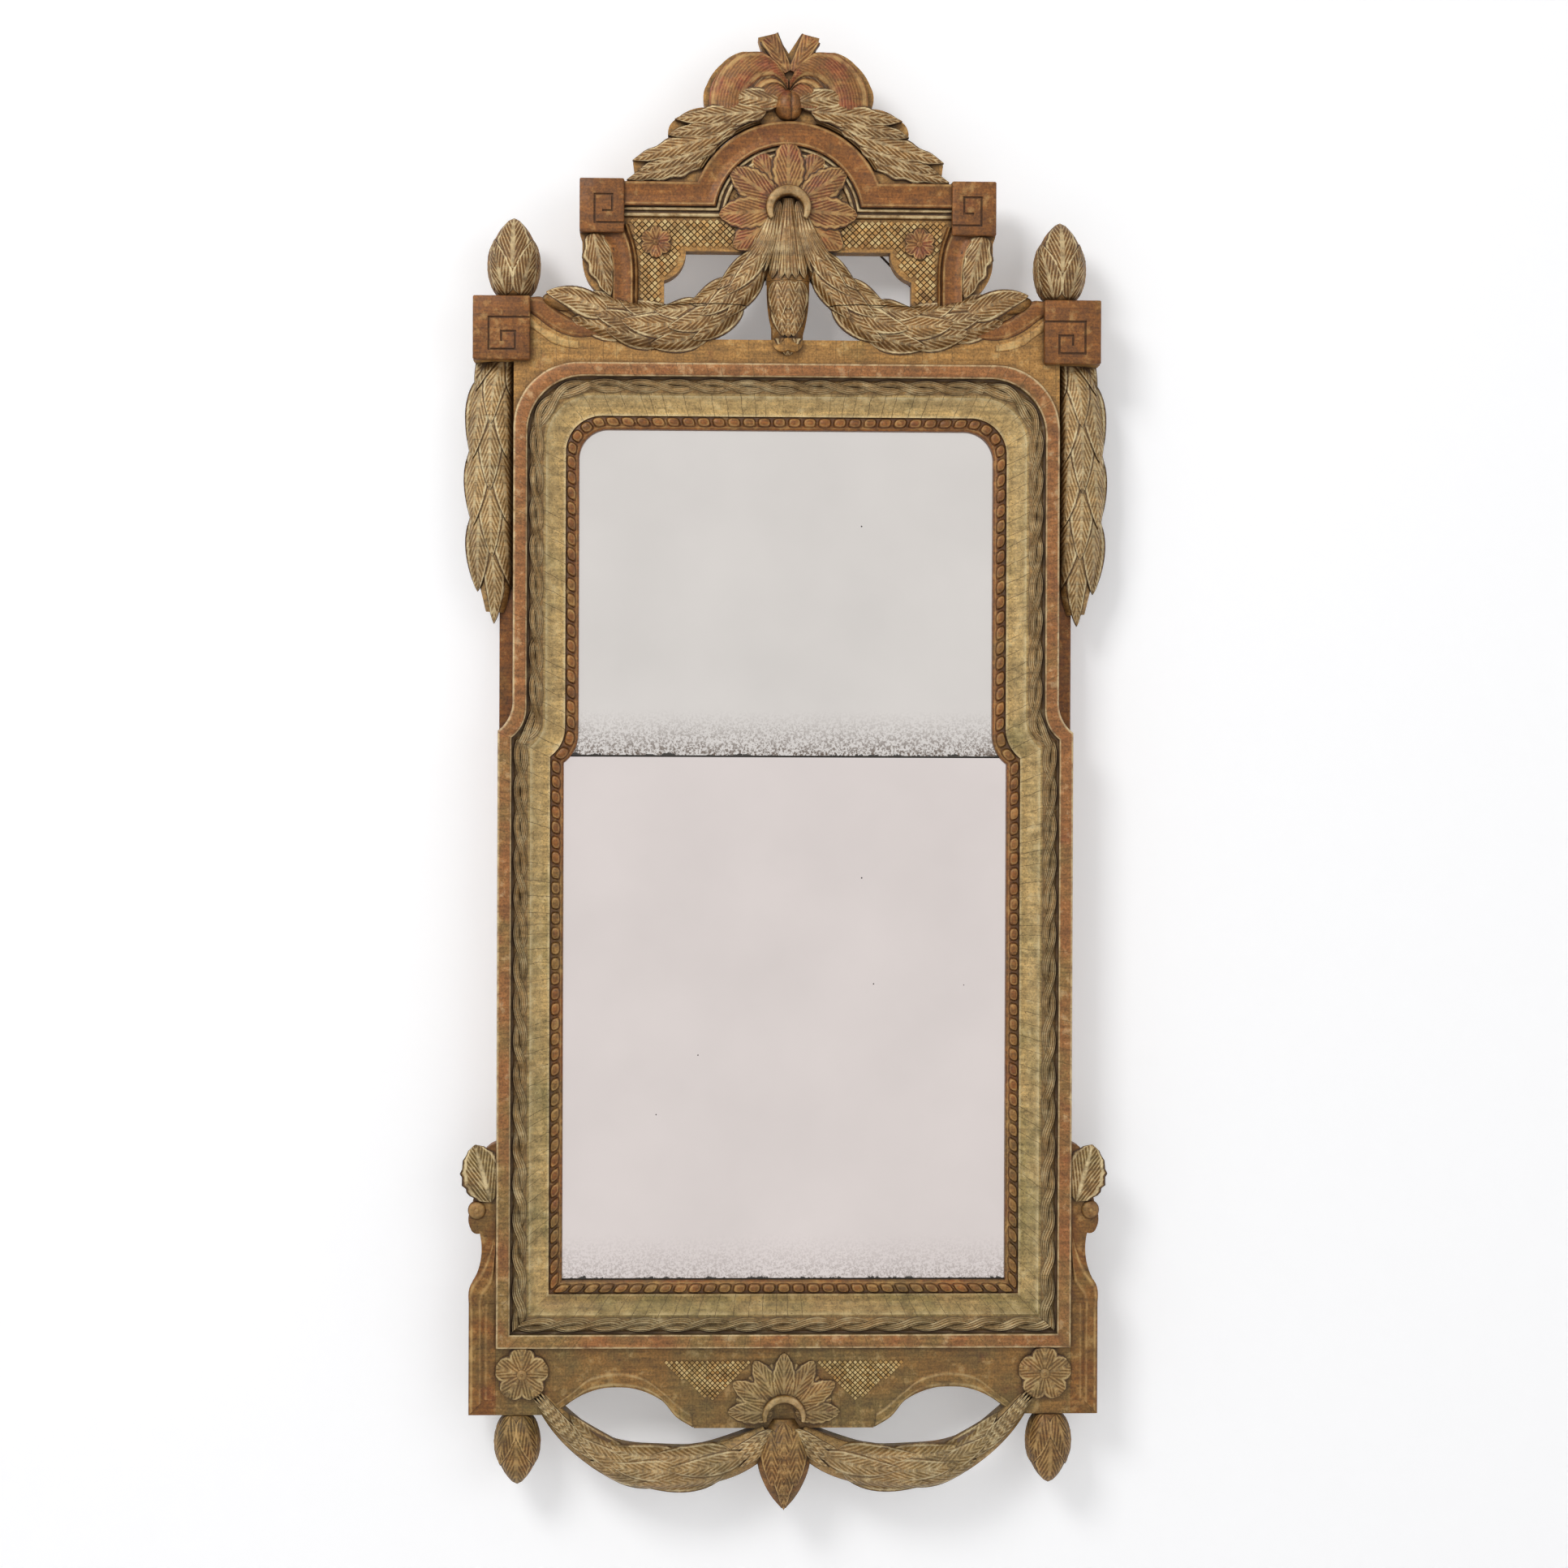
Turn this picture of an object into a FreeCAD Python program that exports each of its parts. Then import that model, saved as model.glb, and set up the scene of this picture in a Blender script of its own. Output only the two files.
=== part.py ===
import FreeCAD, Part
import math
import os

V = FreeCAD.Vector

# Sight openings of the two plates: the upper one is narrower by one step on each side
SIGHT_LOWER_WIDTH = 393.0
SIGHT_LOWER_HEIGHT = 464.0
SIGHT_UPPER_HEIGHT = 289.0
SIGHT_STEP = 13.0

# Moulding profile, named from the outer edge inwards
FILLET_WIDTH = 12.0
RIBBON_WIDTH = 16.0
COVE_WIDTH = 18.0
BEAD_WIDTH = 9.0
LIP_WIDTH = 2.0
FILLET_HEIGHT = 24.0
FILLET_ROUND = 2.5
RIBBON_HEIGHT = 15.0
RIBBON_RISE = 4.5
BEAD_HEIGHT = 7.0
BEAD_RISE = 3.8
LIP_HEIGHT = 5.0
COVE_BELLY_SHARES = (0.36, 0.25)
ROUND_MIDDLE_SHARE = 1 - math.sqrt(0.5)

# Corner and shoulder of the moulding
CORNER_OUTER_RADIUS = 57.0
CORNER_SIGHT_RADIUS = 26.0
CORNER_SECTIONS = 7
SHOULDER_LIFT = 48.0
SHOULDER_DROP = 26.0
SHOULDER_SKEW = 28.0

# Carcass of softwood
STILE_DEPTH = 30.0
REBATE_WIDTH = 7.0
TOP_RAIL_HEIGHT = 40.0
BOTTOM_RAIL_HEIGHT = 72.0
TENON_LENGTH = 30.0
TENON_THICKNESS = 10.0
TENON_SHOULDER = 6.0
FIT_CLEARANCE = 0.15

# Plates and what holds them
PLATE_THICKNESS = 4.0
PLATE_LAP = 6.0
PLATE_GAP = 0.8
BLOCK_LENGTH = 40.0
BLOCK_THICKNESS = 10.0
BLOCK_BITE = 5.0
BLOCK_PLACE_SHARES = (0.2, 0.5, 0.8)

# Backboards, set just inside the wall plane, and their nails
BACK_REBATE = 8.0
BACK_THICKNESS = 8.0
BACK_INSET = 1.5
NAIL_RADIUS = 1.1
NAIL_LENGTH = 18.0
NAIL_HEAD_RADIUS = 2.6
NAIL_HEAD_THICKNESS = 1.1
NAIL_PLACE_SHARES = (0.15, 0.85)

# Front boards: plank over the plates, crest on the plank, apron below
BOARD_THICKNESS = 18.0
PLANK_EDGE = 21.0
PLANK_SLOPE_WIDTH = 37.0
SEAM_HEIGHT = 50.5
APRON_DEPTH = 71.0
APRON_END_DEPTH = 59.0
APRON_END_WIDTH = 50.5
APRON_STEP_WIDTH = 16.0
APRON_ARCH_WIDTH = 80.0
APRON_SLOPE_WIDTH = 28.0
APRON_ARCH_TOP = 34.5
APRON_ARCH_RISE = 12.5
APRON_ARCH_BELLY_SHARES = (0.52, 0.42)

# Crest
CREST_INSET = 57.5
CREST_OPENING_HEIGHT = 48.0
CREST_FIELD_HEIGHT = 39.0
CREST_BAND_WIDTH = 21.0
CREST_FILLET_WIDTH = 10.0
CREST_BAND_RELIEF = 6.0
CREST_FILLET_RELIEF = 3.5
CREST_SCROLL_WIDTH = 28.0
CREST_LEG_WIDTH = 46.0
CREST_CUSP_WIDTH = 19.0
CREST_CUSP_HEIGHT = 26.0
CREST_CUSP_SHARES = (0.2, 0.55)
CREST_SCROLL_SHARES = ((0.3, 0.14), ((0.74, 0.34), (0.92, 0.62)), (0.92, 0.9))
ARCH_RADIUS = 86.0
ARCH_RISE = 54.0
KEY_BLOCK_WIDTH = 39.0
KEY_BLOCK_HEIGHT = 47.5
KEY_BLOCK_STEP = 2.0
KEY_BLOCK_RELIEF = 9.0
BRACKET_RELIEF = 5.0
BRACKET_WIDTH = 23.5
BRACKET_STRAIGHT = 28.0
BRACKET_FLARE = 15.0
BRACKET_NECK = 8.7
BRACKET_CAP = 8.5
BRACKET_BEND_SHARES = (0.3, 0.58)
SIDE_LEAF_WIDTH = 30.0
SIDE_LEAF_RELIEF = 11.0
SIDE_LEAF_EDGE = 4.0
SIDE_LEAF_SHARES = (((0.72, 1.0), (0.1, 0.1)),)

# Greek key grooves, as shares of the block from its inner edge and its foot
KEY_GROOVE_WIDTH = 1.8
KEY_GROOVE_DEPTH = 1.6
CORNER_KEY_SHARES = ((0.0, 0.66), (0.72, 0.66), (0.72, 0.16), (0.26, 0.16), (0.26, 0.44), (0.5, 0.44),
                     (0.5, 0.3))
CREST_KEY_SHARES = ((0.0, 0.18), (0.66, 0.18), (0.66, 0.7), (0.27, 0.7), (0.27, 0.4), (0.47, 0.4))

# Corner blocks over the stiles, and the four finials on their dowels
CORNER_BLOCK_WIDTH = 50.0
CORNER_BLOCK_HEIGHT = 56.0
CORNER_BLOCK_LAP = 14.5
CORNER_BLOCK_LIFT = 1.0
CORNER_BLOCK_RELIEF = 9.0
FINIAL_INSET = 15.0
FINIAL_DIAMETER = 47.0
FINIAL_LENGTH = 71.0
LOW_FINIAL_INSET = 18.5
LOW_FINIAL_DIAMETER = 41.0
LOW_FINIAL_LENGTH = 63.0
FINIAL_FLAT_SHARE = 0.6
FINIAL_FOOT_SHARE = 0.6
FINIAL_BELLY_SHARES = (1.0, 0.38)
FINIAL_NECK_SHARES = (0.86, 0.66)
FINIAL_TIP_SHARES = (0.52, 0.88)
DOWEL_RADIUS = 4.0
DOWEL_LENGTH = 36.0

# Rosettes: petals by their angles from upright and their shares of the full petal length
ROSETTE_RISE = 8.0
PETAL_LENGTH = 63.0
PETAL_WIDTH = 25.0
PETAL_RELIEF = 10.0
PETAL_EDGE = 4.0
PETAL_FOOT_SHARE = 0.5
ROSETTE_ANGLES = (0, 29, 55, 94, 124.5)
ROSETTE_PETAL_SHARES = (1.0, 0.94, 0.99, 0.97, 0.92)
RING_RADIUS = 17.0
RING_THICKNESS = 7.0
RING_RELIEF = 15.0
RING_SPAN = 240
HALF_TURN = 180
FULL_TURN = 360
APRON_PETAL_LENGTH = 52.0
APRON_PETAL_WIDTH = 24.0
APRON_ROSETTE_DROP = 56.5
APRON_ROSETTE_ANGLES = (0, 30, 60, 90)
APRON_PETAL_SHARES = (1.0, 1.0, 1.0, 0.95)
FLOWER_RADIUS = 25.0
FLOWER_INSET = 23.0
FLOWER_DROP = 23.0
FLOWER_PETALS = 5
FLOWER_EYE_SHARE = 0.26
FLORET_RADIUS = 13.5
FLORET_INSET = 8.0
FLORET_RISE = 8.0
FLORET_SHARE = 0.5

# Swags, as shares of span, fall and width along the middle line
SWAG_END_GAP = 12.0
SWAG_FALL = 100.0
SWAG_RISE = 81.5
SWAG_WIDTH = 39.0
SWAG_RELIEF = 14.0
SWAG_SEAM_SHARE = 0.51
SWAG_SHARES = ((0.057, 0.0, 0.46), (0.097, 0.307, 0.67), (0.204, 0.642, 0.77), (0.365, 0.935, 1.0),
               (0.582, 1.0, 0.954), (0.776, 0.892, 0.82), (0.893, 0.792, 0.51), (1.0, 0.757, 0.1))
APRON_SWAG_INSET = 39.5
APRON_SWAG_FALL = 70.0
APRON_SWAG_TOP = 38.0
APRON_SWAG_WIDTH = 35.0
APRON_SWAG_RELIEF = 13.0
APRON_SWAG_SHARES = ((0.06, 0.56, 0.6), (0.12, 0.7, 0.8), (0.22, 0.85, 0.94), (0.355, 0.957, 0.95),
                     (0.507, 0.97, 1.0), (0.654, 0.92, 0.94), (0.785, 0.74, 0.75), (0.916, 0.4, 0.6),
                     (1.0, 0.1, 0.34))

# Drop under the crest rosette and pendant under the apron rosette
DROP_WIDTH = 38.5
DROP_JOINT = 21.5
DROP_RELIEF = 13.0
DROP_TIP_LENGTH = 10.0
DROP_STEM_SHARES = ((0.0, 1.0), (0.35, 0.88), (0.68, 0.62), (1.0, 0.36))
DROP_BUD_SHARES = ((0.0, 0.66), (0.35, 0.88), (0.7, 0.98), (1.0, 1.0))
PENDANT_WIDTH = 47.0
PENDANT_TOP = 70.0
PENDANT_LENGTH = 72.0
PENDANT_RELIEF = 15.0
PENDANT_SHARES = ((0.0, 0.55), (0.18, 0.9), (0.4, 1.0), (0.68, 0.76), (0.88, 0.4), (1.0, 0.06))

# Bow and laurel sprays, as shares of half width and height
BOW_WIDTH = 150.0
BOW_HEIGHT = 86.0
BOW_FOOT = 8.0
BOW_RELIEF = 5.0
BOW_SHARES = ((0.0, 0.0), (0.9, 0.0), (0.97, 0.23), ((1.0, 0.36), (0.96, 0.47)),
              ((0.89, 0.585), (0.79, 0.68)), ((0.68, 0.76), (0.54, 0.81)), (0.31, 0.81), (0.36, 0.955),
              (0.15, 1.0), (0.0, 0.795))
BOW_LOOP_SHARES = (((0.1, 0.37), (0.84, 0.66)),)
BOW_LOOP_WIDTH = 42.0
BOW_LOOP_RELIEF = 9.0
BOW_LEAF_SHARES = (((0.1, 0.29), (0.76, 0.35)),)
BOW_LEAF_WIDTH = 22.0
BOW_LEAF_RELIEF = 11.0
KNOT_RADIUS = 12.0
KNOT_RELIEF = 13.0
KNOT_SHARE = 0.28
SPRAY_LAP = 6.0
SPRAY_HEIGHT = 73.0
SPRAY_RELIEF = 4.0
SPRAY_SHARES = ((0.0, 0.0), (0.12, 0.07), (0.1, 0.23), ((0.13, 0.29), (0.19, 0.32)),
                ((0.36, 0.43), (0.56, 0.46)), (0.51, 0.56), ((0.53, 0.69), (0.61, 0.77)),
                ((0.78, 0.88), (0.94, 0.91)), (1.12, 0.91), (1.12, 0.0))
SPRAY_LEAF_SHARES = (((1.64, 0.83), (0.6, 0.73)), ((1.35, 0.76), (0.51, 0.54)), ((1.15, 0.56), (0.1, 0.24)),
                     ((1.08, 0.39), (0.17, 0.13)), ((0.95, 0.3), (0.03, 0.01)))
SPRAY_LEAF_WIDTH = 17.0
SPRAY_LEAF_RELIEF = 9.0

# Leaf drops beside the upper moulding, ears beside the lower moulding
SIDE_DROP_LENGTH = 231.0
SIDE_DROP_WIDTH = 43.0
SIDE_DROP_RELIEF = 17.0
SIDE_DROP_SHARES = ((0.0, 0.0, 0.52, 0.6), (0.08, 0.0, 0.78, 0.85), (0.24, 0.0, 0.93, 1.0),
                    (0.48, 0.0, 0.95, 1.0), (0.7, 0.0, 0.88, 0.9), (0.88, 0.08, 0.68, 0.7),
                    (1.0, 0.3, 0.52, 0.3))
EAR_WIDTH = 24.5
EAR_HEIGHT = 239.0
EAR_THICKNESS = 22.0
EAR_SHARES = ((0.0, 0.0), (0.06, 0.0), ((0.46, 0.03), (0.57, 0.094)), ((0.62, 0.144), (0.76, 0.188)),
              ((0.84, 0.21), (0.84, 0.231)), ((1.0, 0.273), (0.92, 0.313)), ((0.78, 0.33), (0.59, 0.331)),
              ((0.56, 0.43), (0.9, 0.519)), (0.98, 0.544), (0.98, 1.0), (0.0, 1.0))

# Batten behind the crest and hanging fittings of iron
BATTEN_WIDTH = 28.0
BATTEN_THICKNESS = 9.0
BATTEN_TOP = 96.0
SCREW_RADIUS = 2.0
SCREW_LENGTH = 19.0
SCREW_HEAD_RADIUS = 4.0
SCREW_HEAD_THICKNESS = 1.6
SCREW_PLACE_SHARES = (0.32, 0.68, 0.92)
EYE_INSET = 13.0
EYE_HEIGHT = 30.0
EYE_RING_RADIUS = 5.0
EYE_WIRE_RADIUS = 1.3
EYE_NECK = 3.0
EYE_SHANK = 12.0
WIRE_RADIUS = 1.0
WIRE_APEX_SIDE = 16.5
WIRE_APEX_HEIGHT = 170.0
WIRE_APEX_RADIUS = 7.0
WIRE_LOOP_RADIUS = 4.5
WIRE_LOOP_TURN = 328
WIRE_STANDOFF = 0.4

# Places that follow from the sizes: z is 0 at the outer top edge of the moulding, y is 0 at the wall
MOULDING_WIDTH = FILLET_WIDTH + RIBBON_WIDTH + COVE_WIDTH + BEAD_WIDTH + LIP_WIDTH
LOW_SIGHT_X = SIGHT_LOWER_WIDTH / 2
UP_SIGHT_X = LOW_SIGHT_X - SIGHT_STEP
LOW_OUTER_X = LOW_SIGHT_X + MOULDING_WIDTH
UP_OUTER_X = UP_SIGHT_X + MOULDING_WIDTH
SIGHT_TOP_Z = -MOULDING_WIDTH
SPLIT_Z = SIGHT_TOP_Z - SIGHT_UPPER_HEIGHT
SIGHT_BOTTOM_Z = SPLIT_Z - SIGHT_LOWER_HEIGHT
LOW_Z = SIGHT_BOTTOM_Z - MOULDING_WIDTH
SHOULDER_Z = SPLIT_Z + SHOULDER_LIFT
STILE_X = LOW_SIGHT_X + REBATE_WIDTH
FACE_Y = -STILE_DEPTH
BOARD_Y = FACE_Y - BOARD_THICKNESS
TOP_RAIL_Z = TOP_RAIL_HEIGHT / 2
LOW_RAIL_TOP_Z = SIGHT_BOTTOM_Z - REBATE_WIDTH
LOW_RAIL_Z = LOW_RAIL_TOP_Z - BOTTOM_RAIL_HEIGHT
OPENING_Z = SEAM_HEIGHT + CREST_OPENING_HEIGHT
BAND_Z = OPENING_Z + CREST_FIELD_HEIGHT
BAND_TOP_Z = BAND_Z + CREST_BAND_WIDTH
ARCH_Z = BAND_TOP_Z + ARCH_RISE - ARCH_RADIUS
ARCH_INNER = ARCH_RADIUS - CREST_BAND_WIDTH
KEY_TOP_Z = BAND_TOP_Z + KEY_BLOCK_STEP
KEY_LOW_Z = KEY_TOP_Z - KEY_BLOCK_HEIGHT
CREST_X = UP_OUTER_X - CREST_INSET
KEY_X = CREST_X - KEY_BLOCK_WIDTH
CREST_LEG_FOOT = CREST_X - CREST_SCROLL_WIDTH
CREST_LEG_INNER = CREST_LEG_FOOT - CREST_LEG_WIDTH
CREST_OPENING_X = CREST_LEG_INNER - CREST_CUSP_WIDTH
PLANK_EDGE_X = CREST_LEG_INNER - PLANK_SLOPE_WIDTH
FLORET_X = CREST_LEG_INNER + FLORET_INSET
EYE_X = CREST_LEG_FOOT - EYE_INSET
BOW_X = BOW_WIDTH / 2
SPRAY_WIDTH = KEY_X - BOW_X + SPRAY_LAP
ROSETTE_Z = ARCH_Z + ROSETTE_RISE
RING_OUTER = RING_RADIUS + RING_THICKNESS / 2
DROP_Z = SEAM_HEIGHT + DROP_JOINT
BOW_Z = ARCH_Z + ARCH_RADIUS - BOW_FOOT
APRON_Z = LOW_Z - APRON_DEPTH
APRON_END_Z = LOW_Z - APRON_END_DEPTH
APRON_ROSETTE_Z = LOW_Z - APRON_ROSETTE_DROP
CORNER_TOP_Z = CORNER_BLOCK_LIFT + CORNER_BLOCK_HEIGHT
CORNER_INNER_X = UP_OUTER_X - CORNER_BLOCK_LAP
CORNER_OUTER_X = CORNER_INNER_X + CORNER_BLOCK_WIDTH
SWAG_X = CORNER_INNER_X - SWAG_END_GAP
FINIAL_X = CORNER_INNER_X + FINIAL_INSET
LOW_FINIAL_X = LOW_OUTER_X - LOW_FINIAL_INSET
FLOWER_X = LOW_OUTER_X - FLOWER_INSET
APRON_SWAG_X = LOW_OUTER_X - APRON_SWAG_INSET
APRON_END_X = LOW_OUTER_X - APRON_END_WIDTH
APRON_ARCH_OUTER_X = APRON_END_X - APRON_STEP_WIDTH
APRON_ARCH_INNER_X = APRON_ARCH_OUTER_X - APRON_ARCH_WIDTH
APRON_TONGUE_X = APRON_ARCH_INNER_X - APRON_SLOPE_WIDTH
BOARD_MIDDLE_Y = FACE_Y - BOARD_THICKNESS / 2
BATTEN_Y = FACE_Y + BATTEN_THICKNESS
BATTEN_TOP_Z = SEAM_HEIGHT + BATTEN_TOP
EYE_Y = FACE_Y + EYE_NECK + EYE_RING_RADIUS

nodes = {}


def mirrored(shape):
    return shape.mirror(V(0, 0, 0), V(1, 0, 0))


def pair(name, right):
    nodes[name + "_right"] = right
    nodes[name + "_left"] = mirrored(right)


def both(right):
    return [right, mirrored(right)]


def group(shapes):
    return Part.makeCompound([solid for shape in shapes for solid in shape.Solids])


def fused(shapes):
    return shapes[0].multiFuse(shapes[1:]).removeSplitter()


def chain(steps, place):
    # steps are points, or (middle, end) for a round stretch, closed back to the first point
    edges = []
    here = place(*steps[0])
    for step in list(steps[1:]) + [steps[0]]:
        curved = isinstance(step[0], tuple)
        there = place(*(step[1] if curved else step))
        if curved:
            edges.append(Part.Arc(here, place(*step[0]), there).toShape())
        elif here.distanceToPoint(there) > 0:
            edges.append(Part.makeLine(here, there))
        here = there
    return Part.Wire(edges)


def slab(steps, back, front):
    face = Part.Face(chain(steps, lambda x, z: V(x, back, z)))
    return face.extrude(V(0, front - back, 0))


def scaled(shares, x, z, wide, tall):
    # an outline in shares, set from the point (x, z)
    def point(share):
        return (x + share[0] * wide, z + share[1] * tall)
    return [tuple(point(part) for part in step) if isinstance(step[0], tuple) else point(step)
            for step in shares]


def block(x0, x1, y0, y1, z0, z1):
    return Part.makeBox(x1 - x0, y1 - y0, z1 - z0, V(x0, y0, z0))


def rod(start, along, radius):
    return Part.makeCylinder(radius, along.Length, start, along)


# Carcass
def tenon(z0, z1, ease):
    middle = FACE_Y / 2
    half = TENON_THICKNESS / 2 + ease
    low = z0 + TENON_SHOULDER - ease
    high = z1 - TENON_SHOULDER + ease
    return block(0, STILE_X + TENON_LENGTH + ease, middle - half, middle + half, low, high)


def rail(z0, z1):
    bar = block(-STILE_X, STILE_X, FACE_Y, 0, z0, z1)
    return fused([bar] + both(tenon(z0, z1, 0)))


def back_recess(ease):
    side = STILE_X + BACK_REBATE - ease
    top = -TOP_RAIL_Z + BACK_REBATE - ease
    low = LOW_RAIL_TOP_Z - BACK_REBATE + ease
    return block(-side, side, -BACK_THICKNESS - BACK_INSET, 0, low, top)


def nail_places():
    recess = back_recess(0).BoundBox
    side = STILE_X + BACK_REBATE / 2
    tall = recess.ZLength / 3
    rows = [recess.ZMin + tall * (n + share) for n in range(3) for share in NAIL_PLACE_SHARES]
    return [V(x, -BACK_INSET, z) for z in rows for x in (-side, side)]


def nail(place):
    shank = rod(place, V(0, -NAIL_LENGTH, 0), NAIL_RADIUS)
    return fused([shank, rod(place, V(0, NAIL_HEAD_THICKNESS, 0), NAIL_HEAD_RADIUS)])


def nail_hole(place):
    return rod(place, V(0, -NAIL_LENGTH - FIT_CLEARANCE, 0), NAIL_RADIUS + FIT_CLEARANCE)


def carcass():
    holes = [nail_hole(place) for place in nail_places()]
    recess = back_recess(0)
    mortises = [tenon(z0, z1, FIT_CLEARANCE)
                for z0, z1 in ((-TOP_RAIL_Z, TOP_RAIL_Z), (LOW_RAIL_Z, LOW_RAIL_TOP_Z))]
    stile = block(STILE_X, LOW_OUTER_X, FACE_Y, 0, LOW_RAIL_Z, TOP_RAIL_Z)
    pair("stile", stile.cut([recess] + mortises + holes))
    nodes["top_rail"] = rail(-TOP_RAIL_Z, TOP_RAIL_Z).cut([recess, batten(FIT_CLEARANCE)])
    nodes["bottom_rail"] = rail(LOW_RAIL_Z, LOW_RAIL_TOP_Z).cut(recess)
    box = back_recess(FIT_CLEARANCE).BoundBox
    tall = box.ZLength / 3
    for number, name in enumerate(("lower", "middle", "upper")):
        low = box.ZMin + tall * number
        board = block(box.XMin, box.XMax, box.YMin, -BACK_INSET, low + FIT_CLEARANCE, low + tall)
        nodes["backboard_" + name] = board.cut(holes)
    nodes["backboard_nails"] = group([nail(place) for place in nail_places()])


# Plates and the glued blocks behind them
def plates():
    up_x = UP_SIGHT_X + PLATE_LAP
    low_x = LOW_SIGHT_X + PLATE_LAP
    top = SIGHT_TOP_Z + PLATE_LAP
    low = SIGHT_BOTTOM_Z - PLATE_LAP
    back = FACE_Y + PLATE_THICKNESS
    nodes["mirror_plate_upper"] = block(-up_x, up_x, FACE_Y, back, SPLIT_Z + PLATE_GAP / 2, top)
    nodes["mirror_plate_lower"] = block(-low_x, low_x, FACE_Y, back, low, SPLIT_Z - PLATE_GAP / 2)
    pieces = []
    for edge, z0, z1 in ((up_x, SPLIT_Z, top), (low_x, low, SPLIT_Z)):
        for share in BLOCK_PLACE_SHARES:
            middle = z0 + (z1 - z0) * share
            ends = (middle - BLOCK_LENGTH / 2, middle + BLOCK_LENGTH / 2)
            pieces += both(block(edge - BLOCK_BITE, STILE_X, back, back + BLOCK_THICKNESS, *ends))
    side = STILE_X / 2
    for z0, z1 in ((top - BLOCK_BITE, -TOP_RAIL_Z), (LOW_RAIL_TOP_Z, low + BLOCK_BITE)):
        ends = (side - BLOCK_LENGTH / 2, side + BLOCK_LENGTH / 2)
        pieces += both(block(*ends, back, back + BLOCK_THICKNESS, z0, z1))
    nodes["glue_blocks"] = group(pieces)


# Moulding: one profile, placed by a function of (in from the outer edge, out from the carcass)
def profile(place):
    ribbon = FILLET_WIDTH + RIBBON_WIDTH
    cove = ribbon + COVE_WIDTH
    bead = cove + BEAD_WIDTH
    soft = FILLET_ROUND * ROUND_MIDDLE_SHARE
    across, deep = COVE_BELLY_SHARES
    belly = (ribbon + COVE_WIDTH * across, BEAD_HEIGHT + (RIBBON_HEIGHT - BEAD_HEIGHT) * deep)
    steps = [(0, 0), (0, FILLET_HEIGHT - FILLET_ROUND),
             ((soft, FILLET_HEIGHT - soft), (FILLET_ROUND, FILLET_HEIGHT)),
             (FILLET_WIDTH, FILLET_HEIGHT), (FILLET_WIDTH, RIBBON_HEIGHT),
             ((FILLET_WIDTH + RIBBON_WIDTH / 2, RIBBON_HEIGHT + RIBBON_RISE), (ribbon, RIBBON_HEIGHT)),
             (belly, (cove, BEAD_HEIGHT)),
             ((cove + BEAD_WIDTH / 2, BEAD_HEIGHT + BEAD_RISE), (bead, BEAD_HEIGHT)),
             (MOULDING_WIDTH, LIP_HEIGHT), (MOULDING_WIDTH, 0)]
    return chain(steps, place)


def run(place, along, ends):
    # a straight length: the profile drawn out, then trimmed to the four corners of its front view
    bar = Part.Face(profile(place)).extrude(along)
    return bar.common(slab(ends, FACE_Y, FACE_Y - FILLET_HEIGHT))


def corner_section(angle):
    turn = math.radians(angle)

    def place(inward, out):
        radius = CORNER_OUTER_RADIUS + (CORNER_SIGHT_RADIUS - CORNER_OUTER_RADIUS) * inward / MOULDING_WIDTH
        x = UP_OUTER_X - inward - radius * (1 - math.cos(turn))
        z = -inward - radius * (1 - math.sin(turn))
        return V(x, FACE_Y - out, z)
    return profile(place)


def shoulder():
    # the moulding sets out sideways on an arc while every line of it stays parallel
    turn = 2 * math.atan2(SIGHT_STEP, SHOULDER_DROP)
    radius = SHOULDER_DROP / math.sin(turn)

    def place(inward, out):
        return V(UP_OUTER_X - inward, FACE_Y - out, SHOULDER_Z - SHOULDER_SKEW * inward / MOULDING_WIDTH)

    def along(angle):
        return place(0, 0) + V(radius * (1 - math.cos(angle)), 0, -radius * math.sin(angle))
    arc = Part.Arc(along(0), along(turn / 2), along(turn)).toShape()
    sweep = Part.BRepOffsetAPI.MakePipeShell(Part.Wire([arc]))
    sweep.setTrihedronMode(place(0, 0), V(0, 1, 0))
    sweep.add(profile(place), False, False)
    sweep.build()
    sweep.makeSolid()
    return sweep.shape()


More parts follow.
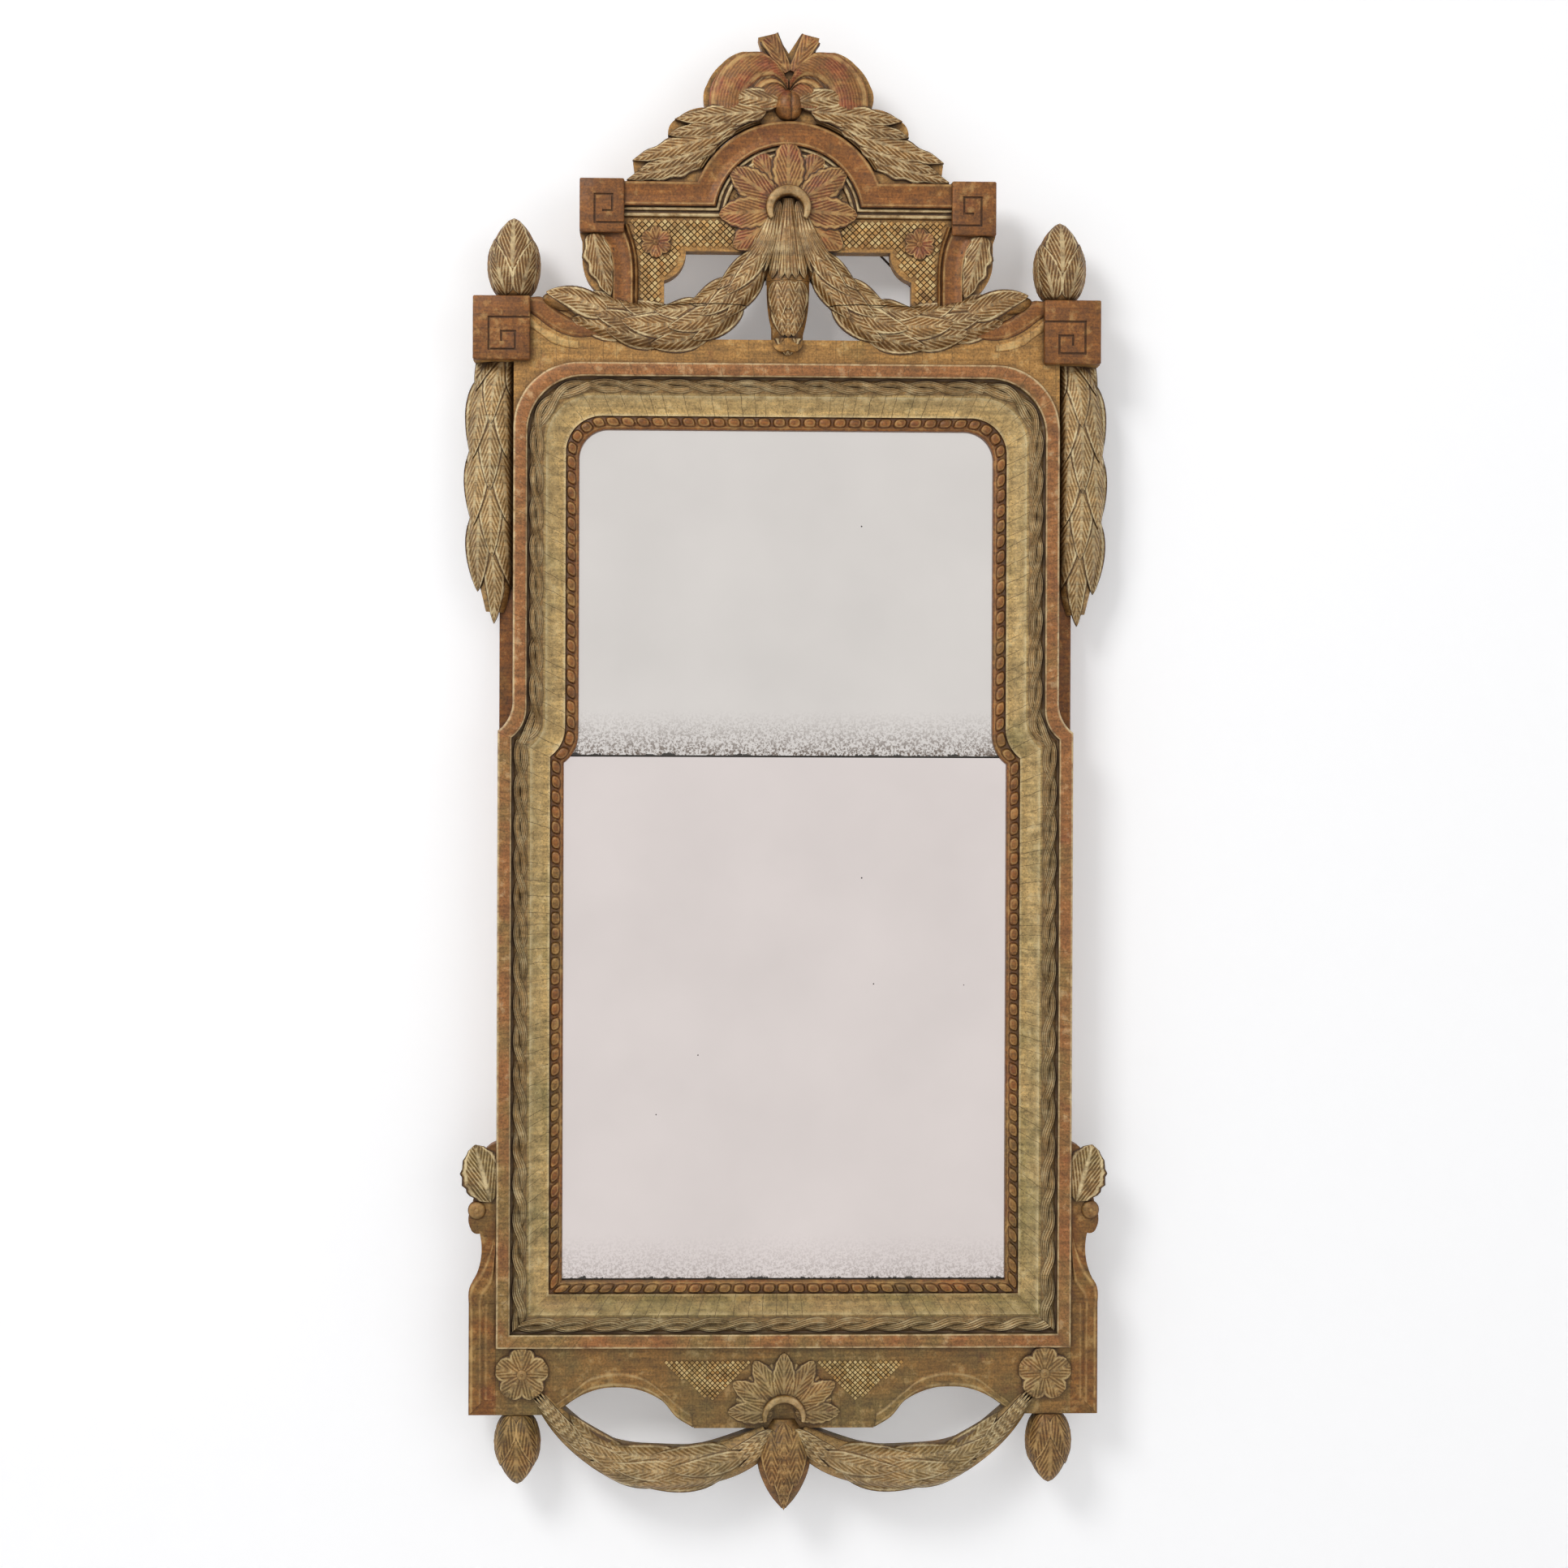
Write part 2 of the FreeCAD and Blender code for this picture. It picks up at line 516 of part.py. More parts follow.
def mouldings():
    corner_z = -CORNER_OUTER_RADIUS
    corner_sight_z = SIGHT_TOP_Z - CORNER_SIGHT_RADIUS
    low_top = SHOULDER_Z - SHOULDER_DROP
    up_low = SHOULDER_Z - SHOULDER_SKEW
    pair("moulding_upper", run(lambda s, d: V(UP_OUTER_X - s, FACE_Y - d, 0), V(0, 0, up_low),
                               [(UP_OUTER_X, corner_z), (UP_OUTER_X, SHOULDER_Z),
                                (UP_SIGHT_X, up_low), (UP_SIGHT_X, corner_sight_z)]))
    pair("moulding_lower", run(lambda s, d: V(LOW_OUTER_X - s, FACE_Y - d, LOW_Z), V(0, 0, low_top - LOW_Z),
                               [(LOW_OUTER_X, LOW_Z), (LOW_OUTER_X, low_top),
                                (LOW_SIGHT_X, low_top - SHOULDER_SKEW), (LOW_SIGHT_X, SIGHT_BOTTOM_Z)]))
    top_x = UP_OUTER_X - CORNER_OUTER_RADIUS
    top_sight_x = UP_SIGHT_X - CORNER_SIGHT_RADIUS
    ends = [(-top_x, 0), (top_x, 0), (top_sight_x, SIGHT_TOP_Z), (-top_sight_x, SIGHT_TOP_Z)]
    nodes["moulding_top"] = run(lambda s, d: V(-top_x, FACE_Y - d, -s), V(2 * top_x, 0, 0), ends)
    ends = [(-LOW_OUTER_X, LOW_Z), (LOW_OUTER_X, LOW_Z),
            (LOW_SIGHT_X, SIGHT_BOTTOM_Z), (-LOW_SIGHT_X, SIGHT_BOTTOM_Z)]
    nodes["moulding_bottom"] = run(lambda s, d: V(-LOW_OUTER_X, FACE_Y - d, LOW_Z + s),
                                   V(2 * LOW_OUTER_X, 0, 0), ends)
    turns = [90 * n / (CORNER_SECTIONS - 1) for n in range(CORNER_SECTIONS)]
    pair("moulding_corner", Part.makeLoft([corner_section(turn) for turn in turns], True))
    pair("moulding_shoulder", shoulder())


# Garlands: lofts of low arched sections over a flat back
def dome_section(left, right, y, rise):
    top = (left + right) / 2 + V(0, y - rise, 0)
    a = left + V(0, y, 0)
    b = right + V(0, y, 0)
    return Part.Wire([Part.Arc(a, top, b).toShape(), Part.makeLine(b, a)])


def sides_of(stations):
    sides = []
    for n, (x, z, half) in enumerate(stations):
        before = stations[max(n - 1, 0)]
        after = stations[min(n + 1, len(stations) - 1)]
        along = V(after[0] - before[0], 0, after[1] - before[1]).normalize()
        across = V(-along.z, 0, along.x) * half
        sides.append((V(x, 0, z) - across, V(x, 0, z) + across))
    return sides


def garland(stations, relief):
    widest = max(half for x, z, half in stations)
    sides = sides_of(stations)
    rises = [relief * half / widest for x, z, half in stations]
    return Part.makeLoft([dome_section(*side, BOARD_Y, rise) for side, rise in zip(sides, rises)], True)


def backing(stations, front):
    sides = sides_of(stations)
    curves = []
    for n in (0, 1):
        curve = Part.BSplineCurve()
        curve.interpolate([side[n] for side in sides])
        curves.append(curve.toShape())
    ends = [Part.makeLine(*sides[0]), Part.makeLine(*sides[-1])]
    face = Part.Face(Part.Wire([ends[0], curves[1], ends[1], curves[0]]))
    face.translate(V(0, FACE_Y, 0))
    return face.extrude(V(0, front - FACE_Y, 0))


def swag_stations():
    top = SEAM_HEIGHT + SWAG_RISE
    return [(SWAG_X * a, top - SWAG_FALL * b, SWAG_WIDTH / 2 * c) for a, b, c in SWAG_SHARES]


def apron_swag_stations():
    top = LOW_Z - APRON_SWAG_TOP
    return [(APRON_SWAG_X * a, top - APRON_SWAG_FALL * b, APRON_SWAG_WIDTH / 2 * c)
            for a, b, c in APRON_SWAG_SHARES]


def upright(shares, low, high, width):
    # stations of a piece that hangs on the middle line
    return [(0, low + (high - low) * up, width / 2 * half) for up, half in shares]


def pendant_stations():
    top = LOW_Z - PENDANT_TOP
    shares = [(1 - down, half) for down, half in PENDANT_SHARES]
    return upright(shares, top - PENDANT_LENGTH, top, PENDANT_WIDTH)


# Leaves and petals: a pointed outline under a low roof with its ridge along the middle
def leaf(length, width, edge, ridge, foot):
    half = width / 2
    steps = [(-half * foot, 0), ((-half, length / 2), (0, length)), ((half, length / 2), (half * foot, 0))]
    outline = slab(steps, 0, -ridge)
    cover = Part.Face(chain([(-half, 0), (-half, -edge), (0, -ridge), (half, -edge), (half, 0)],
                            lambda x, y: V(x, y, -length)))
    return outline.common(cover.extrude(V(0, 0, 3 * length)))


def set_leaf(shape, x, z, lean, out=0):
    # lean is the turn from upright towards the right; out is the start distance along the leaf
    shape.translate(V(0, 0, out))
    shape.rotate(V(0, 0, 0), V(0, 1, 0), lean)
    shape.translate(V(x, BOARD_Y, z))
    return shape


def fronds(ends, width, edge, ridge):
    # leaves on a board's face, each from its foot to its tip
    leaves = []
    for (xa, za), (xb, zb) in ends:
        frond = leaf(math.hypot(xb - xa, zb - za), width, edge, ridge, PETAL_FOOT_SHARE)
        leaves.append(set_leaf(frond, xa, za, math.degrees(math.atan2(xb - xa, zb - za))))
    return leaves


def petals(z, angles, shares, length, width, relief, out):
    leaves = []
    for lean, share in zip(angles, shares):
        for side in ((1, -1) if lean else (1,)):
            petal = leaf(length * share - out, width, PETAL_EDGE, relief, PETAL_FOOT_SHARE)
            leaves.append(set_leaf(petal, 0, z, lean * side, out))
    return fused(leaves)


def flower(x, z, radius, relief):
    eye = radius * FLOWER_EYE_SHARE
    edge = relief * PETAL_EDGE / PETAL_RELIEF
    leaves = []
    for n in range(FLOWER_PETALS):
        petal = leaf(radius, radius, edge, relief, PETAL_FOOT_SHARE)
        leaves.append(set_leaf(petal, x, z, FULL_TURN * n / FLOWER_PETALS))
    leaves.append(rod(V(x, BOARD_Y, z), V(0, -relief, 0), eye))
    return fused(leaves)


def ring():
    inner = RING_OUTER - RING_THICKNESS
    shelf = RING_RELIEF - RING_THICKNESS / 2
    steps = [(inner, 0), (RING_OUTER, 0), (RING_OUTER, shelf), ((RING_RADIUS, RING_RELIEF), (inner, shelf))]
    face = Part.Face(chain(steps, lambda x, out: V(x, BOARD_Y - out, 0)))
    band = face.revolve(V(0, 0, 0), V(0, -1, 0), RING_SPAN)
    band.rotate(V(0, 0, 0), V(0, -1, 0), (HALF_TURN - RING_SPAN) / 2)
    band.translate(V(0, 0, ROSETTE_Z))
    return band


# Crest
def crest_zone(x):
    # the space above the seam between crest and plank, out to x
    return block(0, x, BOARD_Y - 2 * SWAG_RELIEF, 0, SEAM_HEIGHT, BOW_Z)


def arch_half(radius, level):
    return math.sqrt(radius ** 2 - (level - ARCH_Z) ** 2)


def arch_band(outer, inner, top, low, relief):
    a = arch_half(outer, top)
    b = arch_half(inner, low)
    steps = [(-KEY_X, low), (-b, low), ((0, ARCH_Z + inner), (b, low)), (KEY_X, low), (KEY_X, top), (a, top),
             ((0, ARCH_Z + outer), (-a, top)), (-KEY_X, top)]
    return slab(steps, BOARD_Y, BOARD_Y - relief)


def crest_arch():
    fillet_inner = ARCH_INNER - CREST_FILLET_WIDTH
    band = arch_band(ARCH_RADIUS, ARCH_INNER, BAND_TOP_Z, BAND_Z, CREST_BAND_RELIEF)
    fillet = arch_band(ARCH_INNER, fillet_inner, BAND_Z, BAND_Z - CREST_FILLET_WIDTH, CREST_FILLET_RELIEF)
    return fused([band, fillet])


def crest_side(back, front):
    # right half of the body: field, leg, scrolled side and block
    tall = KEY_LOW_Z - SEAM_HEIGHT
    cusp_z = OPENING_Z - CREST_CUSP_HEIGHT
    across, down = CREST_CUSP_SHARES
    cusp = (CREST_OPENING_X + CREST_CUSP_WIDTH * across, OPENING_Z - CREST_CUSP_HEIGHT * down)
    scroll = scaled(CREST_SCROLL_SHARES, CREST_LEG_FOOT, SEAM_HEIGHT, CREST_SCROLL_WIDTH, tall)
    steps = [(0, OPENING_Z), (CREST_OPENING_X, OPENING_Z),
             (cusp, (CREST_LEG_INNER, cusp_z)), (CREST_LEG_INNER, SEAM_HEIGHT),
             (CREST_LEG_FOOT, SEAM_HEIGHT), *scroll, (CREST_X, KEY_LOW_Z),
             (CREST_X, KEY_TOP_Z), (KEY_X, KEY_TOP_Z), (KEY_X, BAND_TOP_Z), (0, BAND_TOP_Z)]
    return slab(steps, back, front)


def bow_outline(back, front):
    right = slab(scaled(BOW_SHARES, 0, BOW_Z, BOW_X, BOW_HEIGHT), back, front)
    return both(right)


def spray_outline(back, front):
    return slab(scaled(SPRAY_SHARES, KEY_X, BAND_TOP_Z, -SPRAY_WIDTH, SPRAY_HEIGHT), back, front)


def stem_stations():
    return upright(DROP_STEM_SHARES, DROP_Z, ROSETTE_Z, DROP_WIDTH)


def bud_stations():
    return upright(DROP_BUD_SHARES, PLANK_EDGE, DROP_Z, DROP_WIDTH)


def hood(back, front):
    # the board under the round of the arch
    a = arch_half(ARCH_RADIUS, BAND_TOP_Z)
    steps = [(-a, BAND_TOP_Z), (a, BAND_TOP_Z), ((0, ARCH_Z + ARCH_RADIUS), (-a, BAND_TOP_Z))]
    return slab(steps, back, front)


def crest_board(holes):
    parts = both(crest_side(FACE_Y, BOARD_Y)) + bow_outline(FACE_Y, BOARD_Y) + [hood(FACE_Y, BOARD_Y)]
    parts += both(spray_outline(FACE_Y, BOARD_Y))
    parts += both(backing(swag_stations(), BOARD_Y).common(crest_zone(CREST_LEG_FOOT)))
    parts.append(backing(stem_stations(), BOARD_Y))
    return fused(parts).cut(holes)


def key_block(x, z, wide, tall, relief, path_shares):
    body = block(x, x + wide, BOARD_Y - relief, BOARD_Y, z, z + tall)
    half = KEY_GROOVE_WIDTH / 2
    floor = BOARD_Y - relief + KEY_GROOVE_DEPTH
    grooves = []
    points = [(x + wide * a, z + tall * b) for a, b in path_shares]
    for (xa, za), (xb, zb) in zip(points, points[1:]):
        grooves.append(block(min(xa, xb) - half, max(xa, xb) + half, floor - relief, floor,
                             min(za, zb) - half, max(za, zb) + half))
    return body.cut(grooves)


def crest_block():
    return key_block(KEY_X, KEY_LOW_Z, KEY_BLOCK_WIDTH, KEY_BLOCK_HEIGHT, KEY_BLOCK_RELIEF, CREST_KEY_SHARES)


def bracket():
    # band on the leg that flares up to the block, with the leaf outside it
    inner = CREST_LEG_FOOT - BRACKET_WIDTH
    bend = SEAM_HEIGHT + BRACKET_STRAIGHT
    cap = KEY_LOW_Z + BRACKET_CAP
    across, up = BRACKET_BEND_SHARES
    outer_bend = (CREST_LEG_FOOT + BRACKET_FLARE * across, bend + (KEY_LOW_Z - bend) * up)
    inner_bend = (inner + BRACKET_NECK * across, bend + (cap - bend) * up)
    steps = [(inner, SEAM_HEIGHT), (CREST_LEG_FOOT, SEAM_HEIGHT), (CREST_LEG_FOOT, bend),
             (outer_bend, (CREST_LEG_FOOT + BRACKET_FLARE, KEY_LOW_Z)), (KEY_X, KEY_LOW_Z), (KEY_X, cap),
             (inner + BRACKET_NECK, cap), (inner_bend, (inner, bend))]
    band = slab(steps, BOARD_Y, BOARD_Y - BRACKET_RELIEF)
    ends = scaled(SIDE_LEAF_SHARES, CREST_LEG_FOOT, SEAM_HEIGHT, CREST_SCROLL_WIDTH, KEY_LOW_Z - SEAM_HEIGHT)
    frond = fused(fronds(ends, SIDE_LEAF_WIDTH, SIDE_LEAF_EDGE, SIDE_LEAF_RELIEF))
    frond = frond.common(crest_side(BOARD_Y, BOARD_Y - SIDE_LEAF_RELIEF)).cut(crest_block())
    return fused([band, frond])


def spray():
    ends = scaled(SPRAY_LEAF_SHARES, KEY_X, BAND_TOP_Z, -SPRAY_WIDTH, SPRAY_HEIGHT)
    parts = fronds(ends, SPRAY_LEAF_WIDTH, SPRAY_RELIEF, SPRAY_LEAF_RELIEF)
    parts.append(spray_outline(BOARD_Y, BOARD_Y - SPRAY_RELIEF))
    body = fused(parts).common(spray_outline(BOARD_Y, BOARD_Y - SPRAY_LEAF_RELIEF))
    under_bow = bow_outline(BOARD_Y, BOARD_Y - KNOT_RELIEF)
    return body.cut([hood(BOARD_Y, BOARD_Y - SPRAY_LEAF_RELIEF)] + under_bow)


def bow(arch):
    parts = bow_outline(BOARD_Y, BOARD_Y - BOW_RELIEF)
    for shares, width, ridge in ((BOW_LOOP_SHARES, BOW_LOOP_WIDTH, BOW_LOOP_RELIEF),
                                 (BOW_LEAF_SHARES, BOW_LEAF_WIDTH, BOW_LEAF_RELIEF)):
        for loop in fronds(scaled(shares, 0, BOW_Z, BOW_X, BOW_HEIGHT), width, BOW_RELIEF, ridge):
            parts += both(loop)
    knot = V(0, BOARD_Y, BOW_Z + BOW_HEIGHT * KNOT_SHARE)
    outline = fused(bow_outline(BOARD_Y, BOARD_Y - KNOT_RELIEF))
    return fused(parts + [rod(knot, V(0, -KNOT_RELIEF, 0), KNOT_RADIUS)]).common(outline).cut(arch)


def crest():
    arch = crest_arch()
    stem = garland(stem_stations(), DROP_RELIEF)
    circle = ring()
    brackets = bracket()
    bud = fused([backing(bud_stations(), BOARD_Y), garland(bud_stations(), DROP_RELIEF)])
    swag = garland(swag_stations(), SWAG_RELIEF).cut([stem, bud, circle, brackets])
    nodes["crest_board"] = crest_board(screw_holes() + [bud])
    nodes["crest_arch"] = arch
    pair("crest_block", crest_block())
    pair("crest_bracket", brackets)
    pair("laurel_spray", spray())
    nodes["ribbon_bow"] = bow(arch)
    flowers = petals(ROSETTE_Z, ROSETTE_ANGLES, ROSETTE_PETAL_SHARES, PETAL_LENGTH, PETAL_WIDTH,
                     PETAL_RELIEF, RING_OUTER)
    nodes["crest_rosette"] = flowers.cut([arch, stem] + both(swag))
    nodes["rosette_ring"] = circle
    pair("upper_swag", swag.common(crest_zone(SWAG_X * SWAG_SEAM_SHARE)))
    pair("lower_swag", swag.cut(both(crest_zone(CREST_LEG_FOOT))))
    nodes["drop_stem"] = stem
    nodes["drop_bud"] = bud.cut(screw_holes())
    floret = flower(FLORET_X, OPENING_Z + FLORET_RISE, FLORET_RADIUS, PETAL_RELIEF * FLORET_SHARE)
    nodes["crest_florets"] = group(both(floret.cut([brackets, arch])))


# Plank over the plates, with its corner blocks and finials
def plank():
    top_x = UP_OUTER_X - CORNER_OUTER_RADIUS
    bend = CORNER_OUTER_RADIUS * ROUND_MIDDLE_SHARE
    steps = [(0, 0), (top_x, 0), ((UP_OUTER_X - bend, -bend), (UP_OUTER_X, -CORNER_OUTER_RADIUS)),
             (UP_OUTER_X, CORNER_BLOCK_LIFT), (CORNER_OUTER_X, CORNER_BLOCK_LIFT),
             (CORNER_OUTER_X, CORNER_TOP_Z),
             (CORNER_INNER_X, CORNER_TOP_Z), (CREST_LEG_FOOT, SEAM_HEIGHT), (CREST_LEG_INNER, SEAM_HEIGHT),
             (PLANK_EDGE_X, PLANK_EDGE), (0, PLANK_EDGE)]
    hump = backing(swag_stations(), BOARD_Y).cut([crest_zone(CREST_LEG_FOOT), crest_side(0, 2 * BOARD_Y)])
    shank = V(0, -EYE_SHANK - FIT_CLEARANCE, 0)
    eye = rod(V(EYE_X, FACE_Y, EYE_HEIGHT), shank, EYE_WIRE_RADIUS + FIT_CLEARANCE)
    body = fused([slab(steps, FACE_Y, BOARD_Y), hump]).cut([eye, finial_hole(FINIAL_X, CORNER_TOP_Z)])
    tip = leaf(DROP_TIP_LENGTH, DROP_WIDTH * DROP_BUD_SHARES[0][1], SIDE_LEAF_EDGE, DROP_RELIEF, 1)
    nodes["top_plank"] = fused(both(body) + [set_leaf(tip, 0, PLANK_EDGE, HALF_TURN)])
    blocks = key_block(CORNER_INNER_X, CORNER_BLOCK_LIFT, CORNER_BLOCK_WIDTH, CORNER_BLOCK_HEIGHT,
                       CORNER_BLOCK_RELIEF, CORNER_KEY_SHARES)
    nodes["corner_blocks"] = group(both(blocks))


def finial_hole(x, z):
    return rod(V(x, BOARD_MIDDLE_Y, z - DOWEL_LENGTH / 2 - FIT_CLEARANCE),
               V(0, 0, DOWEL_LENGTH + 2 * FIT_CLEARANCE), DOWEL_RADIUS + FIT_CLEARANCE)


def finial(x, z, diameter, length, up):
    # turned bud with a flat sawn back
    radius = diameter / 2
    belly, neck, tip = FINIAL_BELLY_SHARES, FINIAL_NECK_SHARES, FINIAL_TIP_SHARES

    def place(across, high):
        return V(x + across, BOARD_MIDDLE_Y, z + up * high)
    steps = [(0, 0), (radius * FINIAL_FOOT_SHARE, 0),
             ((radius * belly[0], length * belly[1]), (radius * neck[0], length * neck[1])),
             ((radius * tip[0], length * tip[1]), (0, length))]
    bud = Part.Face(chain(steps, place)).revolve(place(0, 0), V(0, 0, 1), FULL_TURN)
    flat = BOARD_MIDDLE_Y + radius * FINIAL_FLAT_SHARE
    back = block(x - diameter, x + diameter, flat, flat + diameter, z - length, z + length)
    return bud.cut([back, finial_hole(x, z)])


def finials():
    pair("top_finial", finial(FINIAL_X, CORNER_TOP_Z, FINIAL_DIAMETER, FINIAL_LENGTH, 1))
    pair("bottom_finial", finial(LOW_FINIAL_X, APRON_END_Z, LOW_FINIAL_DIAMETER, LOW_FINIAL_LENGTH, -1))
    dowels = []
    for x, z in ((FINIAL_X, CORNER_TOP_Z), (LOW_FINIAL_X, APRON_END_Z)):
        start = V(x, BOARD_MIDDLE_Y, z - DOWEL_LENGTH / 2)
        dowels += both(rod(start, V(0, 0, DOWEL_LENGTH), DOWEL_RADIUS))
    nodes["finial_dowels"] = group(dowels)


# Leaf drops and ears at the sides
def sides():
    sections = []
    for down, inner, outer, rise in SIDE_DROP_SHARES:
        z = -SIDE_DROP_LENGTH * down
        left = V(UP_OUTER_X + FIT_CLEARANCE + SIDE_DROP_WIDTH * inner, 0, z)
        right = V(UP_OUTER_X + FIT_CLEARANCE + SIDE_DROP_WIDTH * outer, 0, z)
        sections.append(dome_section(left, right, FACE_Y, SIDE_DROP_RELIEF * rise))
    pair("side_drop", Part.makeLoft(sections, True))
    steps = scaled(EAR_SHARES, LOW_OUTER_X, APRON_END_Z + EAR_HEIGHT, EAR_WIDTH, -EAR_HEIGHT)
    pair("side_ear", slab(steps, BOARD_Y + EAR_THICKNESS, BOARD_Y))


# Apron
def apron():
    left = APRON_ARCH_INNER_X
    right = APRON_ARCH_OUTER_X
    crown = LOW_Z - APRON_ARCH_TOP
    spring = crown - APRON_ARCH_RISE
    across, down = APRON_ARCH_BELLY_SHARES
    belly = (left + (APRON_TONGUE_X - left) * across, spring + (APRON_Z - spring) * down)
    steps = [(0, LOW_Z), (LOW_OUTER_X, LOW_Z), (LOW_OUTER_X, APRON_END_Z), (APRON_END_X, APRON_END_Z),
             (right, spring), (((left + right) / 2, crown), (left, spring)),
             (belly, (APRON_TONGUE_X, APRON_Z)), (0, APRON_Z)]
    body = fused([slab(steps, FACE_Y, BOARD_Y), backing(apron_swag_stations(), BOARD_Y)])
    body = body.cut(finial_hole(LOW_FINIAL_X, APRON_END_Z))
    nodes["apron_board"] = fused(both(body) + [backing(pendant_stations(), BOARD_Y)])
    blossom = flower(FLOWER_X, LOW_Z - FLOWER_DROP, FLOWER_RADIUS, PETAL_RELIEF)
    rosette = petals(APRON_ROSETTE_Z, APRON_ROSETTE_ANGLES, APRON_PETAL_SHARES, APRON_PETAL_LENGTH,
                     APRON_PETAL_WIDTH, PETAL_RELIEF, 0)
    tassel = garland(pendant_stations(), PENDANT_RELIEF).cut(rosette)
    swag = garland(apron_swag_stations(), APRON_SWAG_RELIEF).cut([blossom, rosette, tassel])
    nodes["apron_rosette"] = rosette
    nodes["apron_pendant"] = tassel
    lengths = [nodes["moulding_bottom"], nodes["moulding_lower_right"]]
    nodes["apron_flowers"] = group(both(blossom.cut(lengths)))
    pair("apron_swag", swag)


# Batten, screws, eyes and the hanging wire
def batten(ease):
    half = BATTEN_WIDTH / 2 + ease
    return block(-half, half, FACE_Y, BATTEN_Y + ease, -ease, BATTEN_TOP_Z)


def screw_places():
    return [V(0, BATTEN_Y, BATTEN_TOP_Z * share) for share in SCREW_PLACE_SHARES]


def screw_holes():
    return [rod(place, V(0, -SCREW_LENGTH - FIT_CLEARANCE, 0), SCREW_RADIUS + FIT_CLEARANCE)
            for place in screw_places()]


def screw(place):
    shank = rod(place, V(0, -SCREW_LENGTH, 0), SCREW_RADIUS)
    return fused([shank, rod(place, V(0, SCREW_HEAD_THICKNESS, 0), SCREW_HEAD_RADIUS)])


def eye():
    centre = V(EYE_X, EYE_Y, EYE_HEIGHT)
    loop = Part.makeTorus(EYE_RING_RADIUS, EYE_WIRE_RADIUS, centre, V(1, 0, 0))
    neck = EYE_NECK + EYE_SHANK
    return fused([loop, rod(centre - V(0, EYE_RING_RADIUS, 0), V(0, -neck, 0), EYE_WIRE_RADIUS)])


def wire_end(apex, side):
    # tangent from the apex to the end loop, then round the loop through the eye
    centre = V(side * EYE_X, WIRE_LOOP_RADIUS, 0)
    reach = centre - apex
    aside = math.asin(WIRE_LOOP_RADIUS / reach.Length)
    length = math.sqrt(reach.Length ** 2 - WIRE_LOOP_RADIUS ** 2)
    heading = math.atan2(reach.y, reach.x) + side * aside
    touch = apex + V(math.cos(heading), math.sin(heading), 0) * length
    start = math.atan2(touch.y - centre.y, touch.x - centre.x)

    def round_loop(turned):
        angle = start - side * math.radians(turned)
        return centre + V(math.cos(angle), math.sin(angle), 0) * WIRE_LOOP_RADIUS
    return touch, round_loop(WIRE_LOOP_TURN / 2), round_loop(WIRE_LOOP_TURN)


def wire():
    apex = V(-WIRE_APEX_SIDE, WIRE_APEX_HEIGHT, 0)
    right, right_mid, right_end = wire_end(apex, 1)
    left, left_mid, left_end = wire_end(apex, -1)
    to_right = (right - apex).normalize()
    to_left = (left - apex).normalize()
    half = math.acos(to_right.dot(to_left)) / 2
    back = WIRE_APEX_RADIUS / math.tan(half)
    middle = (to_right + to_left).normalize() * (WIRE_APEX_RADIUS / math.sin(half) - WIRE_APEX_RADIUS)
    path = Part.Wire([Part.Arc(right_end, right_mid, right).toShape(),
                      Part.makeLine(right, apex + to_right * back),
                      Part.Arc(apex + to_right * back, apex + middle, apex + to_left * back).toShape(),
                      Part.makeLine(apex + to_left * back, left),
                      Part.Arc(left, left_mid, left_end).toShape()])
    along = path.Edges[0].tangentAt(path.Edges[0].FirstParameter)
    circle = Part.Wire([Part.makeCircle(WIRE_RADIUS, right_end, along)])
    bail = path.makePipeShell([circle], True, True)
    lean = math.asin((EYE_Y - FACE_Y - WIRE_RADIUS - WIRE_STANDOFF) / WIRE_APEX_HEIGHT)
    bail.rotate(V(0, 0, 0), V(1, 0, 0), 90 + math.degrees(lean))
    bail.translate(V(0, EYE_Y, EYE_HEIGHT))
    return bail


def hanging():
    nodes["crest_batten"] = batten(0).cut(screw_holes())
    nodes["batten_screws"] = group([screw(place) for place in screw_places()])
    nodes["screw_eyes"] = group(both(eye()))
    nodes["hanging_wire"] = wire()


for build in (carcass, plates, mouldings, crest, plank, finials, sides, apron, hanging):
    build()
os.makedirs("parts", exist_ok=True)
for name, shape in nodes.items():
    shape.exportStep("parts/" + name + ".step")
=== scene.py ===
import math
import random
import bpy
import numpy as np
from mathutils import Matrix, Vector


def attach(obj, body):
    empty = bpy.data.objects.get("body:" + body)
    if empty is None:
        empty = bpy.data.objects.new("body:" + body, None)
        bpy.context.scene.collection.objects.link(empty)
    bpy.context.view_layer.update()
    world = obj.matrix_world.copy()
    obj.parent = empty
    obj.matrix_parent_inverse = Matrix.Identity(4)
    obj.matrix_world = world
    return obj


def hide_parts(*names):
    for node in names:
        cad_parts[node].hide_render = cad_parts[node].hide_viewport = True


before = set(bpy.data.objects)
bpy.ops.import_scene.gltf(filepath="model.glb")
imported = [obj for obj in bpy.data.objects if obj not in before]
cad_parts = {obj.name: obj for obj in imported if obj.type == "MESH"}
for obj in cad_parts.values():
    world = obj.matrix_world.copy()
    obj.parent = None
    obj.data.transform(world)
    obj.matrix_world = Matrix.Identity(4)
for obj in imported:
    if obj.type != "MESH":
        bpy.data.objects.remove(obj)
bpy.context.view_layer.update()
random.seed(7)

MM = 0.001
CREASE_ANGLE = 32

